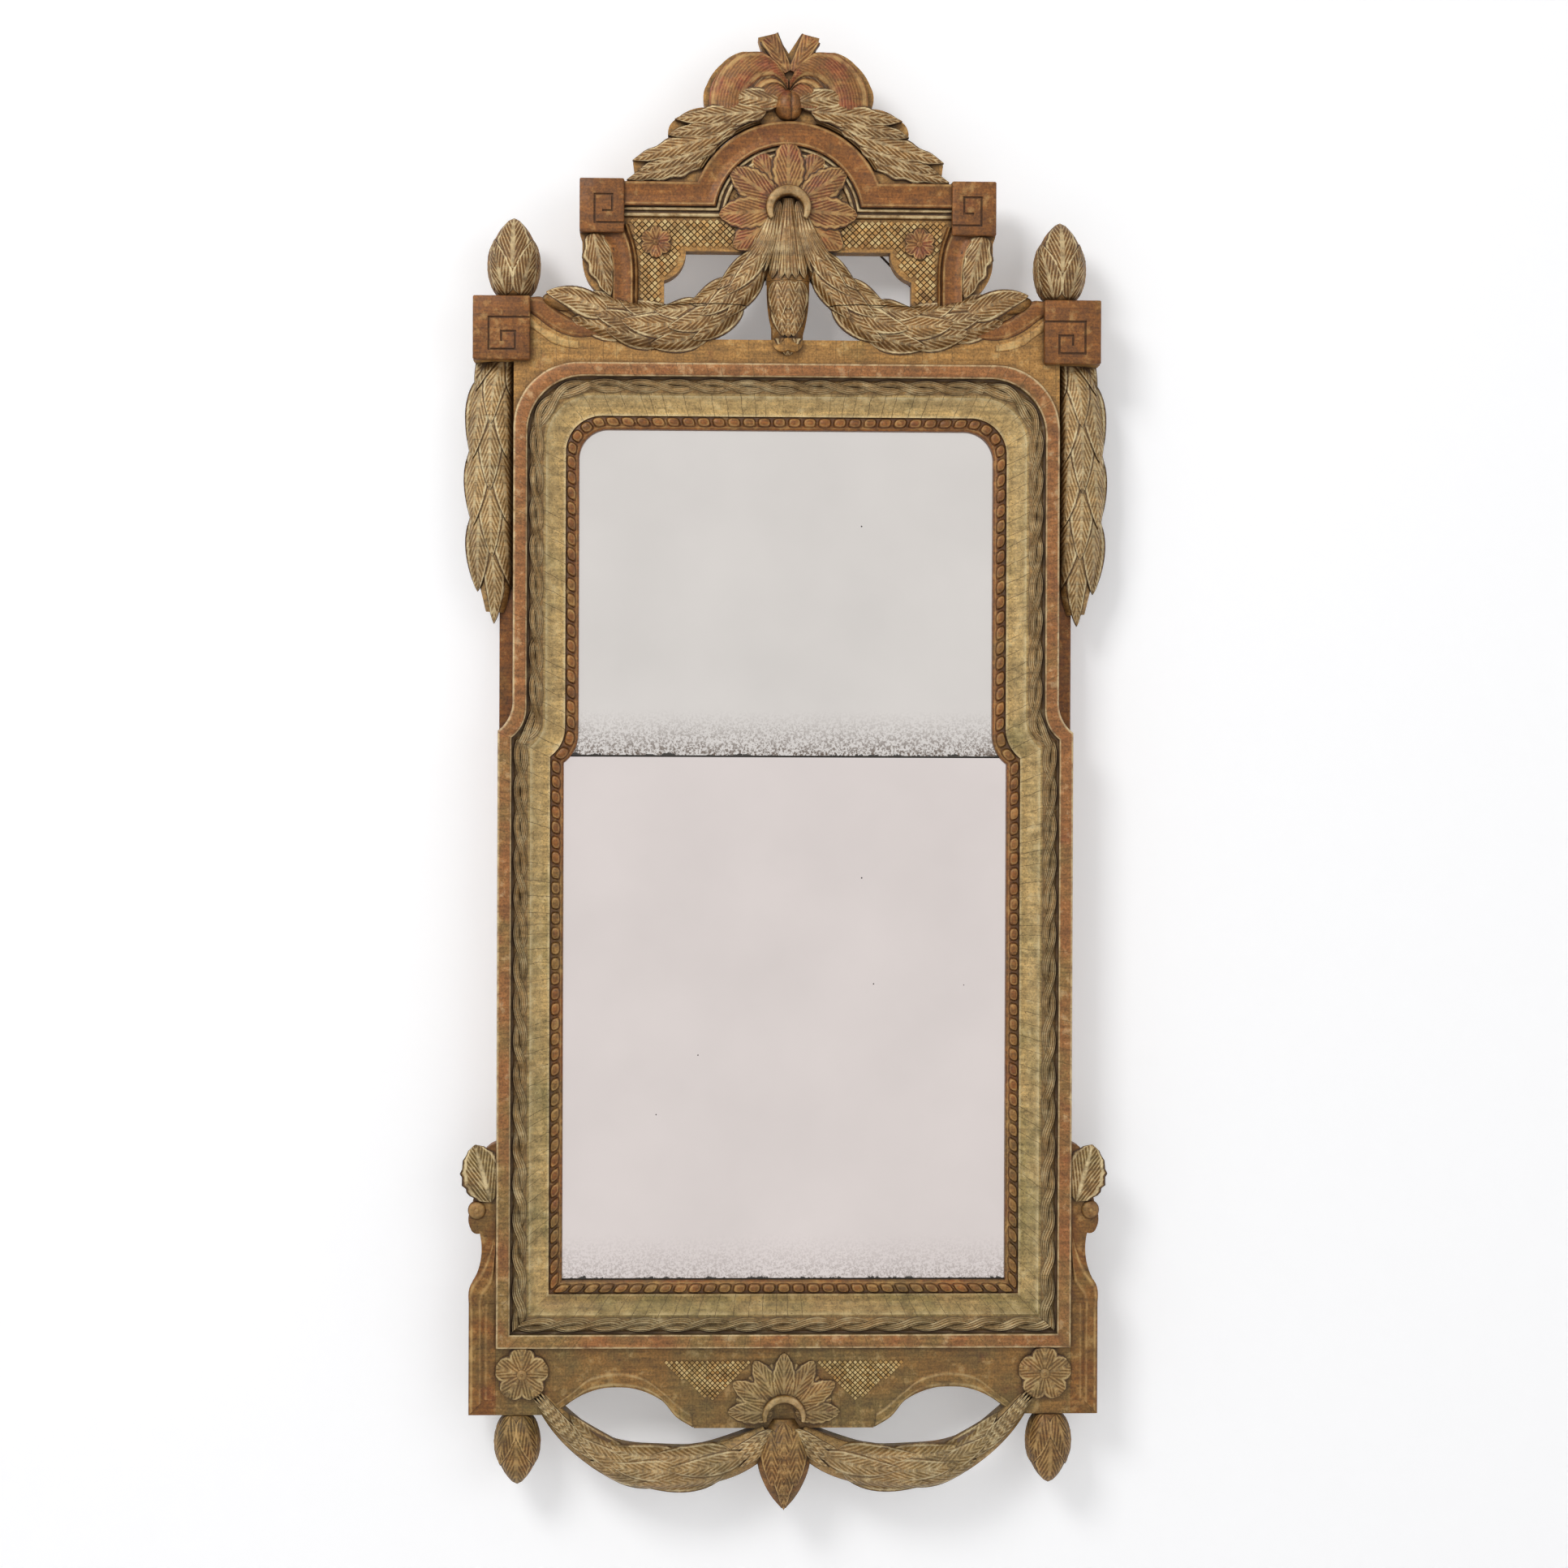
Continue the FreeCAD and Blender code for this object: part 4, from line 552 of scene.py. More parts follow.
# Moulding: profile from the outer edge in, as (in, out, kind of gilding): 0 fillet, 1 ribbon, 2 cove, 3 beads
PROFILE = [(0.0, 0.0, 0), (0.0, 21.5, 0), (0.7, 23.3, 0), (2.5, 24.0, 0), (7.0, 24.1, 0), (10.6, 23.8, 0),
           (12.0, 22.6, 0), (12.4, 16.2, 1), (14.0, 15.6, 1), (17.0, 16.6, 1), (20.0, 17.0, 1),
           (23.0, 16.6, 1), (26.0, 15.6, 1), (27.6, 15.4, 2), (28.6, 14.4, 2), (31.0, 12.0, 2),
           (34.0, 9.6, 2), (37.0, 8.0, 2), (40.0, 7.2, 2), (43.0, 6.9, 2), (45.4, 7.4, 2), (46.2, 6.2, 3),
           (48.0, 6.6, 3), (50.5, 7.2, 3), (53.0, 6.6, 3), (55.0, 6.0, 3), (57.0, 5.0, 3)]
# pale where rubbed above zero; darker below zero, from grime and painted shade in the grooves
PROFILE_WEAR_AND_SHADE = [0, .6, 1, .1, 0, .1, 1, -1, -.6, 0, .1, 0, -.6, -.3, .9, .4, .3, .3, .2, .2, .8, -1, -.6, -.4,
                -.6, .6, -.5]
# the ribbon runs at its own distance in, the beads at theirs
TWIST, RIBBON_IN, STRAND_HALF = 62.0, 20.0, 3.1
BEAD, BEADS_IN, BEAD_HALF = 13.2, 50.5, 4.2
# steps along a straight and along a bent length
PACE, BENT_PACE = 12.0, 3.0


def length_of(place, s, steps=40):
    path = np.array([place(s, 15.0, n / steps) for n in range(steps + 1)])
    return np.hypot(*np.diff(path[:, [0, 2]], axis=0).T).sum()


def column_of(t, count):
    # which of the columns across a blank a point is in
    return np.rint((t + 1) / 2 * (count - 1)).astype(int)


def placed(place, inward, out, along):
    return np.array([place(*row) for row in zip(inward, out, along)])


def moulding(carving, place, start, pace):
    # place(in, out, along 0..1) gives the point; start is where this length begins on the whole ribbon
    whole = length_of(place, RIBBON_IN)
    rows = max(3, int(whole / pace) + 1)
    s, t, under, faces = blank(rows, len(PROFILE))
    column = column_of(t, len(PROFILE))
    table = np.array(PROFILE)
    points = placed(place, table[column, 0], np.where(under, 0, table[column, 1]), s)
    wear = np.array(PROFILE_WEAR_AND_SHADE)[column]
    kinds = []
    for face in faces:
        kinds.append(0 if len(face) > 4 else int(table[max(column[n] for n in face), 2]))
    carving.put(points, faces, np.where(under, 0, wear), tone=0.5, kind=kinds, run=start + s * whole)
    ribbon_strands(carving, place, start, whole)
    bead_row(carving, place)


def ribbon_strands(carving, place, start, whole):
    # two strands of the ribbon, each with fine lines, over and under by turns
    rows = max(5, int(whole / 2.6))
    for way in (1, -1):
        s, t, under, faces = blank(rows, cols=9)
        run = (start + s * whole) / TWIST * 2 * math.pi
        ridge = (column_of(t, 9) % 2).astype(float)
        inward = RIBBON_IN + way * 3.3 * np.sin(run) + t * STRAND_HALF
        crown = 1 - ((inward - RIBBON_IN) / 9) ** 2
        out = 16.0 + 1.8 * crown + way * 0.9 * np.cos(run) + 1.0 * (1 - t ** 2) + 0.75 * ridge
        points = placed(place, inward, np.where(under, 14.0, out), s)
        wear = np.where(np.abs(t) > 0.99, -0.8, np.where(ridge > 0, 0.9, -0.2))
        lines = np.stack([t * 1.7, np.full(len(t), 0.5), np.where(under, 0, 0.8)], axis=-1)
        carving.put(points, faces, np.where(under, -1, wear), tone=0.5 + 0.3 * way, kind=1, vein=lines)


def bead_row(carving, place):
    count = max(1, int(round(length_of(place, BEADS_IN) / BEAD)))
    s, t, under, faces = blank(rows=7, cols=7)
    along, across, far = rounded(s, t, 2.8)
    out = np.where(under, 5.0, 6.4 + 4.2 * np.sqrt(np.clip(1 - far ** 2.4, 0, 1)))
    wear = np.where(far > 0.9, -1, np.where(far > 0.5, 0.6, 0.15))
    for n in range(count):
        points = placed(place, BEADS_IN + 0.1 + across * BEAD_HALF, out, (n + 0.5 + along * 0.47) / count)
        carving.put(points, faces, wear, random.random(), kind=3)


def straight(x, top, foot):
    # an upright length: top and foot give z for each distance in from the outer edge
    def place(s, d, t):
        return (x - s, FACE - d, top(s) + (foot(s) - top(s)) * t)
    return place


def level(z, up, ends):
    def place(s, d, t):
        return (-ends(s) + 2 * ends(s) * t, FACE - d, z + up * s)
    return place


def rounded_corner(s, d, t):
    turn = math.pi / 2 * t
    radius = CORNER_OUT + (CORNER_IN - CORNER_OUT) * s / MOULDING
    return (UP_OUTER - s - radius * (1 - math.sin(turn)), FACE - d, -s - radius * (1 - math.cos(turn)))


def shoulder(s, d, t):
    whole = 2 * math.atan2(STEP, SHOULDER_DROP)
    radius = SHOULDER_DROP / math.sin(whole)
    return (UP_OUTER - s + radius * (1 - math.cos(whole * t)), FACE - d,
            SHOULDER - SHOULDER_SKEW * s / MOULDING - radius * math.sin(whole * t))


def make_mouldings():
    kinds = [fillet_gilding, drop_gilding, cove_gilding, band_gilding]
    low_kinds = [fillet_gilding, drop_gilding, low_cove_gilding, band_gilding]
    skew = SHOULDER_SKEW / MOULDING
    corner = (CORNER_OUT - CORNER_IN) / MOULDING
    upper = straight(UP_OUTER, lambda s: -CORNER_OUT - s * (1 - corner), lambda s: SHOULDER - s * skew)
    lower = straight(LOW_OUTER, lambda s: SHOULDER - SHOULDER_DROP - s * skew, lambda s: LOW + s)
    start = 0.0
    for name, place, pace in (("moulding_corner", rounded_corner, BENT_PACE), ("moulding_upper", upper, PACE),
                              ("moulding_shoulder", shoulder, BENT_PACE), ("moulding_lower", lower, PACE)):
        carving = Carving()
        moulding(carving, place, start, pace)
        start += length_of(place, RIBBON_IN)
        both_sides(carving, name, "gilded_moulding", kinds, name)
    top = level(z=0.0, up=-1, ends=lambda s: UP_OUTER - CORNER_OUT - s * (1 - corner))
    bottom = level(LOW, up=1, ends=lambda s: LOW_OUTER - s)
    for name, place, gilt in (("moulding_top", top, kinds), ("moulding_bottom", bottom, low_kinds)):
        carving = Carving()
        moulding(carving, place, start=0.0, pace=PACE)
        carving.piece(name, "gilded_moulding", gilt, (name,))


make_mouldings()


# Garlands
SWAG = [(12.2, 132, 9), (20.8, 101.3, 13.1), (43.7, 67.8, 15), (78.1, 38.5, 19.5), (124.5, 32, 18.6),
        (166.1, 42.8, 16), (191.1, 52.8, 9.9), (214, 56.3, 2)]
APRON_SWAG = [(12.8, -944.2, 10.5), (25.7, -954, 14), (47.1, -964.5, 16.5), (76, -972, 16.6),
              (108.5, -972.9, 17.5), (140, -969.4, 16.5), (168, -956.8, 13.1), (196, -933, 10.5),
              (214, -912, 6)]
DROP = [(0, 134.5, 7), (0, 114.5, 12), (0, 94, 17), (0, 72, 19.2), (0, 52, 18.8), (0, 36, 16.5),
        (0, 21, 12.7)]
PENDANT = [(0, -930, 10), (0, -944, 18), (0, -960, 23.5), (0, -978, 21), (0, -995, 13), (0, -1009, 2)]
SIDE_DROP = [(251.8, 0, 11.2), (257.4, -18, 16.8), (260.6, -55, 20), (261.1, -111, 20.4), (259.6, -162, 18.9),
             (257, -203, 12.9), (258.3, -231, 4.7)]


def rows_of_leaves(carving, lay, first, last, pitch, length, width, share=0.56, spread=8, lift=(-1.0, 2.0),
                   **more):
    # three staggered rows of leaves that point along the garland: the middle row lies on top
    for aside, late in ((-1, 0.5), (1, 0.25), (0, 0.0)):
        a = first + pitch * late
        while a + length < last:
            half = float(lay.half(a + length * 0.4))
            top = 0.0 if aside else 0.8
            leaf(carving, lay, a=a + random.uniform(-2, 2), b=aside * half * share,
                 lean=aside * spread + random.uniform(-3, 3), length=length * random.uniform(0.93, 1.07),
                 width=width * half / 18 * random.uniform(0.94, 1.06), lift=(lift[0] + top, lift[1] + top),
                 **more)
            a += pitch


# the garlands are sawn through at the seam, as far out as this, with half a saw's width on each side
SAWN_X, SAW_HALF = 118, 0.4


def make_swags():
    lay = along_stations(SWAG, relief=11.0)
    carving = Carving()
    body(carving, lay, lay.length, shrink=0.97)
    # long fibres fan out from the ring, then laurel leaves
    for n in range(5):
        b = -6 + 3 * n
        leaf(carving, lay, a=-11, b=b * 0.35, lean=b * 1.3, length=62 + 8 * (n % 2), width=9, lift=(0.8, 0.6),
             rows=15, sweep=3, pitch=2.0)
    rows_of_leaves(carving, lay, first=32, last=lay.length - 4, pitch=33, length=52, width=22, spread=4)
    dome(carving, x=197, z=53, wide=38, tall=17, relief=7.5, turn=9, rows=11, cols=11, wear=0.1)
    leaf(carving, lay, a=lay.length - 58, b=2, lean=3, length=57, width=26, lift=(1.5, 5.0))
    for side, flip in (("right", False), ("left", True)):
        way = -1 if flip else 1
        upper = carving.build("upper_swag_" + side, [carved_gilding], flip)
        cut(upper, at=(0, 0, SEAM + SAW_HALF), normal=(0, 0, -1))
        cut(upper, at=(way * SAWN_X, 0, 0), normal=(way, 0, 0))
        keep(upper, ("upper_swag_" + side,))
        inner = cut(carving.build("lower_swag_" + side, [carved_gilding], flip), at=(0, 0, SEAM - SAW_HALF),
                    normal=(0, 0, 1))
        cut(inner, at=(way * SAWN_X, 0, 0), normal=(way, 0, 0))
        outer = cut(carving.build("swag_end", [carved_gilding], flip), at=(way * SAWN_X, 0, 0),
                    normal=(-way, 0, 0))
        choose(inner)
        outer.select_set(True)
        bpy.ops.object.join()
        keep(inner, ("lower_swag_" + side,))


# leaves of the bud: along, across, lean, length
BUD_LEAVES = [(62.8, -10, 3, 36), (62.8, 10, -3, 36), (62.8, 0, 0, 26), (78, -8, 6, 34), (78, 8, -6, 34),
              (82, 0, 0, 31)]
STEM_END, BUD_START = 62.3, 62.7


def make_drop():
    # the stem under the ring and the bud over the gap, as leaves that hang one over the other
    lay = along_stations(DROP, relief=13.0)
    for name, first, last in (("drop_stem", 0.0, STEM_END), ("drop_bud", BUD_START, lay.length)):
        carving = Carving()
        body(carving, lay, last, shrink=0.97, rows=18, start=first)
        if name == "drop_stem":
            for b, lean in ((-8, -9), (8, 9), (-4, -4), (4, 4), (0, 0)):
                leaf(carving, lay, a=-10, b=b * 0.4, lean=lean, length=72, width=11, lift=(0.8, 0.4), rows=15,
                     outline=tongue, sweep=3, pitch=2.0)
        else:
            for a, b, lean, size in BUD_LEAVES:
                leaf(carving, lay, a, b, lean, size, width=19)
        carving.piece(name, "gilded_carving", [carved_gilding], (name,))


def make_ring(carving, z, radius, thick, relief, span, kind):
    # a flat round crescent that thins to its rolled ends
    s, t, under, faces = blank(rows=33, cols=9)
    angle = math.radians(90) + (s - 0.5) * math.radians(span)
    taper = 0.35 + 0.65 * np.sin(math.pi * np.clip(s, 0.02, 0.98)) ** 0.5
    r = radius + t * thick / 2 * taper
    high = relief - 3 + 3.5 * np.sqrt(np.clip(1 - t ** 2, 0, 1)) * taper
    points = np.stack([r * np.cos(angle), BOARD - np.where(under, 0, high), z + r * np.sin(angle)], axis=-1)
    carving.put(points, faces, np.where(np.abs(t) > 0.99, -1, 0.45), tone=1.0, kind=kind)


def petal_outline(s):
    return np.sin(math.pi * np.clip(s, 0, 1) ** 0.85) ** 0.62 * (1 + 0.06 * np.sin(s * 34)) * 0.97 + 0.03


def make_petals(carving, z, start, length, width, table):
    for turn, share, level_ in table:
        for side in ((1, -1) if turn else (1,)):
            angle = math.radians(90 - turn * side)
            leaf(carving, flat(), start * math.cos(angle), z + start * math.sin(angle), lean=90 - turn * side,
                 length=length * share - start, width=width, lift=(level_ + 2.2, level_), arch=1.6,
                 outline=petal_outline, rows=19, cols=13, depth=level_ + 4, rib=0.8)


# petals of the rosettes: degrees from upright, share of the length, height over the board
CREST_PETALS = [(29, 0.94, 2.0), (124.5, 0.92, 2.4), (55, 0.99, 3.4), (94, 0.97, 4.0), (0, 1.0, 4.4)]
APRON_PETALS = [(15, 0.84, 0.8), (45, 0.84, 0.8), (75, 0.84, 0.8), (90, 0.95, 2.2), (60, 1, 2.4),
                (30, 1, 2.4), (0, 1, 3)]


def make_rosettes():
    carving = Carving()
    make_petals(carving, ROSETTE_Z, start=14, length=63, width=30, table=CREST_PETALS)
    carving.piece("crest_rosette", "gilded_carving", [red_gilding], ("crest_rosette",))
    carving = Carving()
    make_ring(carving, ROSETTE_Z, radius=16.5, thick=9, relief=15.5, span=236, kind=0)
    carving.piece("rosette_ring", "gilded_carving", [carved_gilding], ("rosette_ring",))
    carving = Carving()
    make_petals(carving, APRON_ROSETTE_Z, start=10, length=52, width=22, table=APRON_PETALS)
    make_ring(carving, APRON_ROSETTE_Z - 4, radius=17, thick=7, relief=12.5, span=200, kind=1)
    carving.piece("apron_rosette", "gilded_carving", [apron_gilding, carved_gilding], ("apron_rosette",))


def make_flower(carving, x, z, radius, count, first, base_lift):
    for n in range(count):
        turn = 360 / count * n + first
        angle = math.radians(turn)
        leaf(carving, flat(), a=x + radius * 0.16 * math.cos(angle), b=z + radius * 0.16 * math.sin(angle),
             lean=turn, length=radius * 0.84, width=radius * 5.2 / count, lift=(base_lift, base_lift + 1.2),
             arch=radius * 0.06, outline=tongue, rows=9, depth=5)
    dome(carving, x, z, wide=radius * 0.5, tall=radius * 0.5, relief=base_lift + radius * 0.16, wear=0.5)
    dome(carving, x, z, wide=radius * 0.24, tall=radius * 0.24, relief=base_lift + radius * 0.2, wear=0.3)


# florets of the crest and flowers of the apron
FLORET_X, FLORET_Z, FLORET_R = 116, 106, 14
FLOWER_X, FLOWER_Z = 230.5, -890


def make_flowers():
    carving = Carving()
    for side in (1, -1):
        make_flower(carving, side * FLORET_X, FLORET_Z, FLORET_R, count=6, first=30, base_lift=1.4)
    carving.piece("crest_florets", "gilded_carving", [red_gilding], ("crest_florets",))
    carving = Carving()
    for side in (1, -1):
        make_flower(carving, side * FLOWER_X, FLOWER_Z, radius=24, count=5, first=18, base_lift=2.2)
    carving.piece("apron_flowers", "gilded_carving", [apron_gilding], ("apron_flowers",))


def arch_line(radius, level_, count):
    # from the left block along the level, over the arch and back to the level, in even steps of each stretch
    half = math.sqrt(radius ** 2 - (level_ - ARCH_Z) ** 2)
    first = math.asin((level_ - ARCH_Z) / radius)
    left = [(-KEY_X + (KEY_X - half) * n / 8, level_) for n in range(8)]
    over = []
    for n in range(count + 1):
        angle = math.pi - first - (math.pi - 2 * first) * n / count
        over.append((radius * math.cos(angle), ARCH_Z + radius * math.sin(angle)))
    return np.array(left + over + [(-x, z) for x, z in reversed(left)])


# sections of the arch from its outer edge in: share of the width, height, wear and painted shade
ARCH_BAND = [(0, 5.2, .2), (.06, 6, .8), (.16, 5.4, 0), (.35, 4.6, 0), (.6, 4.4, 0), (.82, 5.2, 0),
             (.93, 6, .8), (1, 5.0, -.6)]
ARCH_FILLETS = [(0, .6, -1), (.06, .6, -1), (.12, 2.8, .4), (.24, 3.5, 1), (.36, 2.8, .4), (.42, .8, -1),
                (.56, .8, -1), (.62, 2.6, .4), (.76, 3.3, 1), (.9, 2.6, .4), (1, .3, -1)]
FILLETS_IN = (55.0, 127.5)


def make_arch():
    carving = Carving()
    bands = [((ARCH_R, BAND_TOP), (ARCH_IN, BAND), 0, ARCH_BAND),
             ((ARCH_IN, BAND), FILLETS_IN, 1, ARCH_FILLETS)]
    for outer, inner, kind, steps in bands:
        a, b = arch_line(*outer, 40), arch_line(*inner, 40)
        s, t, under, faces = blank(len(a), len(steps))
        row = np.rint(s * (len(a) - 1)).astype(int)
        column = column_of(t, len(steps))
        table = np.array(steps)
        share = table[column, 0][:, None]
        line = a[row] * (1 - share) + b[row] * share
        high = np.where(under, 0, table[column, 1])
        points = np.stack([line[:, 0], BOARD - high, line[:, 1]], axis=-1)
        carving.put(points, faces, np.where(under, 0, table[column, 2]), tone=0.5, kind=kind)
    carving.piece("crest_arch", "gilded_board", [band_gilding, carved_gilding], ("crest_arch",))


def lattice(carving, inside, box, pitch, kind):
    # small raised lozenges between crossed lines
    x0, x1, z0, z1 = box
    for n in range(int((x1 - x0) / pitch * 2) + 1):
        for m in range(int((z1 - z0) / pitch) + 1):
            x = x0 + n * pitch / 2
            z = z0 + (m + 0.5 * (n % 2)) * pitch
            if not inside(x, z):
                continue
            half, top = pitch * 0.48, pitch * 0.38
            ring = [(half, 0), (0, half), (-half, 0), (0, -half)]
            points = [(x + a, BOARD, z + b) for a, b in ring]
            points += [(x + a * 0.94, BOARD - 0.5, z + b * 0.94) for a, b in ring]
            points += [(x + a * top / half, BOARD - 1.1, z + b * top / half) for a, b in ring]
            faces = [(3, 2, 1, 0), (8, 9, 10, 11)]
            for k in range(4):
                j = (k + 1) % 4
                faces += [(k, j, 4 + j, 4 + k), (4 + k, 4 + j, 8 + j, 8 + k)]
            faces = [face[::-1] for face in faces]
            wear = [-1] * 4 + [-0.3] * 4 + [random.uniform(0.2, 1.0)] * 4
            carving.put(np.array(points), faces, np.array(wear), random.random(), kind)


def within(polygon, x, z):
    hit = False
    for (xa, za), (xb, zb) in zip(polygon, polygon[1:] + polygon[:1]):
        if (za > z) != (zb > z) and x < (xb - xa) * (z - za) / (zb - za) + xa:
            hit = not hit
    return hit


# fields of lattice on one side of the middle, and the ring of it under the arch
CREST_FIELD = [(36, 103), (93, 103), (100, 84), (113, 75), (113, 53), (128.5, 53), (129, 90), (136, 118),
               (137.5, 124.5), (36, 124.5)]
APRON_FIELD = [(109.6, -878.5), (30, -878.5), (46, -897), (63, -914.5), (86, -897)]
RING_IN, RING_OUT, RING_LOW = 33, 51, 124


def make_lattices():
    carving = Carving()

    def beside_floret(x, z):
        clear = math.hypot(abs(x) - FLORET_X, z - FLORET_Z) > FLORET_R - 0.5
        return clear and within(CREST_FIELD, abs(x), z)

    def under_arch(x, z):
        return z > RING_LOW and RING_IN < math.hypot(x, z - ARCH_Z) < RING_OUT

    def on_apron(x, z):
        return within(APRON_FIELD, abs(x), z)
    lattice(carving, beside_floret, box=(-142.5, 142.5, 50, 128), pitch=5.7, kind=0)
    lattice(carving, under_arch, box=(-142.5, 142.5, 124, 180), pitch=5.7, kind=0)
    lattice(carving, on_apron, box=(-112.5, 112.5, -916, -877), pitch=4.5, kind=0)
    carving.piece("lattice", "gilded_board", [board_gilding])


# relief and eased edge of the blocks, width and depth of the key's groove
BLOCK_RELIEF, BLOCK_EASE = 9, 1.4
KEY_WIDE, KEY_DEEP = 1.9, 1.7


def put_box(place, size):
    # a box by its middle and its size in millimetres
    bpy.ops.object.select_all(action="DESELECT")
    bpy.ops.mesh.primitive_cube_add(size=1, location=[c * MM for c in place], scale=[c * MM for c in size])
    bpy.ops.object.transform_apply(location=True, rotation=True, scale=True)
    return bpy.context.object


def make_key_block(x, z, wide, tall, path, nodes):
    # an eased block with a square spiral cut into it, on both sides of the middle
    copies = []
    for side in (1, -1):
        middle = (side * (x + wide / 2), BOARD - BLOCK_RELIEF / 2, z + tall / 2)
        thing = put_box(middle, (wide, BLOCK_RELIEF, tall))
        ease = thing.modifiers.new("ease", "BEVEL")
        ease.width = BLOCK_EASE * MM
        ease.segments = 3
        bpy.ops.object.modifier_apply(modifier="ease")
        points = [(x + wide * a, z + tall * b) for a, b in path]
        for (xa, za), (xb, zb) in zip(points, points[1:]):
            middle = (side * (xa + xb) / 2, BOARD - BLOCK_RELIEF, (za + zb) / 2)
            chisel = put_box(middle, (abs(xa - xb) + KEY_WIDE, 2 * KEY_DEEP, abs(za - zb) + KEY_WIDE))
            choose(thing)
            groove = thing.modifiers.new("groove", "BOOLEAN")
            groove.operation = "DIFFERENCE"
            groove.object = chisel
            bpy.ops.object.modifier_apply(modifier="groove")
            bpy.data.objects.remove(chisel)
        choose(thing)
        bpy.ops.object.shade_smooth_by_angle(angle=math.radians(40))
        thing.data.materials.append(band_gilding)
        copies.append(thing)
    if len(nodes) == 1:
        choose(copies[0])
        copies[1].select_set(True)
        bpy.ops.object.join()
        copies = copies[:1]
    for thing, node in zip(copies, nodes):
        thing.name = "gilt_" + node
        keep(thing, (node,))


def make_blocks():
    corner_key = [(0.0, 0.66), (0.72, 0.66), (0.72, 0.16), (0.26, 0.16), (0.26, 0.44), (0.5, 0.44),
                  (0.5, 0.3)]
    crest_key = [(0.0, 0.18), (0.66, 0.18), (0.66, 0.7), (0.27, 0.7), (0.27, 0.4), (0.47, 0.4)]
    make_key_block(x=226, z=1, wide=50, tall=56, path=corner_key, nodes=("corner_blocks",))
    make_key_block(KEY_X, KEY_LOW, CREST_X - KEY_X, KEY_TOP - KEY_LOW, crest_key,
                   ("crest_block_right", "crest_block_left"))


def strip(carving, edge_a, edge_b, heights, wear_and_shade_steps, kind=0, base=BOARD, tone=0.5):
    # a band between two lines of points, with a section across it
    a, b = np.array(edge_a, dtype=float), np.array(edge_b, dtype=float)
    fine = np.linspace(0, len(a) - 1, 6 * (len(a) - 1) + 1)
    knots = np.arange(len(a), dtype=float)
    a = np.stack([spline(knots, a[:, n], fine) for n in (0, 1)], axis=-1)
    b = np.stack([spline(knots, b[:, n], fine) for n in (0, 1)], axis=-1)
    s, t, under, faces = blank(len(fine), len(heights))
    row = np.rint(s * (len(fine) - 1)).astype(int)
    column = column_of(t, len(heights))
    share = ((t + 1) / 2)[:, None]
    line = a[row] * (1 - share) + b[row] * share
    high = np.where(under, 0, np.array(heights, dtype=float)[column])
    carving.put(np.stack([line[:, 0], base - high, line[:, 1]], axis=-1), faces,
                np.where(under, 0, np.array(wear_and_shade_steps, dtype=float)[column]), tone, kind)


BRACKET = ([(170, 113), (161, 104), (156.5, 92), (155, 78.5), (155, 64), (155, 50.5)],
           [(140.2, 121.5), (135, 106), (132.3, 92), (131.5, 78.5), (131.5, 64), (131.5, 50.5)])


def make_brackets():
    carving = Carving()
    # hollow band with a double edge, flaring to the block, and the leaf outside it
    strip(carving, *BRACKET, heights=[1, 5.2, 4.4, 3.4, 2.7, 2.4, 2.7, 3.4, 4.4, 5.2, 3.0, 5.2, 1],
          wear_and_shade_steps=[-1, .8, 0, 0, 0, 0, 0, 0, .2, .9, -1, .9, -1], kind=0)
    leaf(carving, flat(), a=171, b=114, lean=-101, length=58, width=27, lift=(4.0, 3.0), arch=3.0,
         outline=acanthus, rows=21, cols=13, curl=-0.15, depth=6, kind=1)
    both_sides(carving, "crest_bracket", "gilded_carving", [band_gilding, carved_gilding], "crest_bracket")


# outer edge of the bow's loop: degrees round the knot, distance from it
BOW_EDGE = [(180, 69.5), (167, 71), (151, 69), (131, 64), (115, 55), (104, 41), (95, 26)]
BOW_Z, KNOT_Z, KNOT_REACH = 224, 227, 6
KNOT_HALF_WIDE, KNOT_HALF_TALL, KNOT_RELIEF = 13, 14.5, 13.5


def bow_loop(carving, side):
    # fine lines follow the outer edge, then folds and an inner crescent
    table = np.array(BOW_EDGE)
    s, t, under, faces = blank(rows=37, cols=33)
    share = (t + 1) / 2
    turn = 182 - 90 * s
    edge = np.interp(-turn, -table[:, 0], table[:, 1])
    r = KNOT_REACH + (edge - KNOT_REACH) * share
    ridge = np.rint(share * 32) % 2
    high = 5.5 + 3.2 * smooth(1.0, 0.72, share) - 2.6 * smooth(0.66, 0.5, share)
    high = high + 2.2 * smooth(0.46, 0.3, share)
    wear = np.where(ridge > 0, 0.3, -0.25)
    for fold in (0.36, 0.5):
        high = high - 1.2 * np.exp(-((share - fold) / 0.03) ** 2)
        wear = np.where(np.abs(share - fold - 0.055) < 0.03, 0.9, wear)
        wear = np.where(np.abs(share - fold) < 0.02, -1.0, wear)
    wear = np.where(share > 0.99, -0.5, np.where(share > 0.93, 0.8, wear))
    angle = np.radians(turn)
    x, z = r * np.cos(angle), BOW_Z + r * np.sin(angle) * 0.98
    points = np.stack([-side * x, BOARD - np.where(under, 0, high + 0.3 * ridge), z], axis=-1)
    lines = np.stack([r / 2.6, np.full(len(r), 0.5), np.where(under, 0, 0.55)], axis=-1)
    faces = [face[::-1] for face in faces] if side > 0 else faces
    carving.put(points, faces, np.where(under, -1, wear), tone=0.5, kind=0, vein=lines)


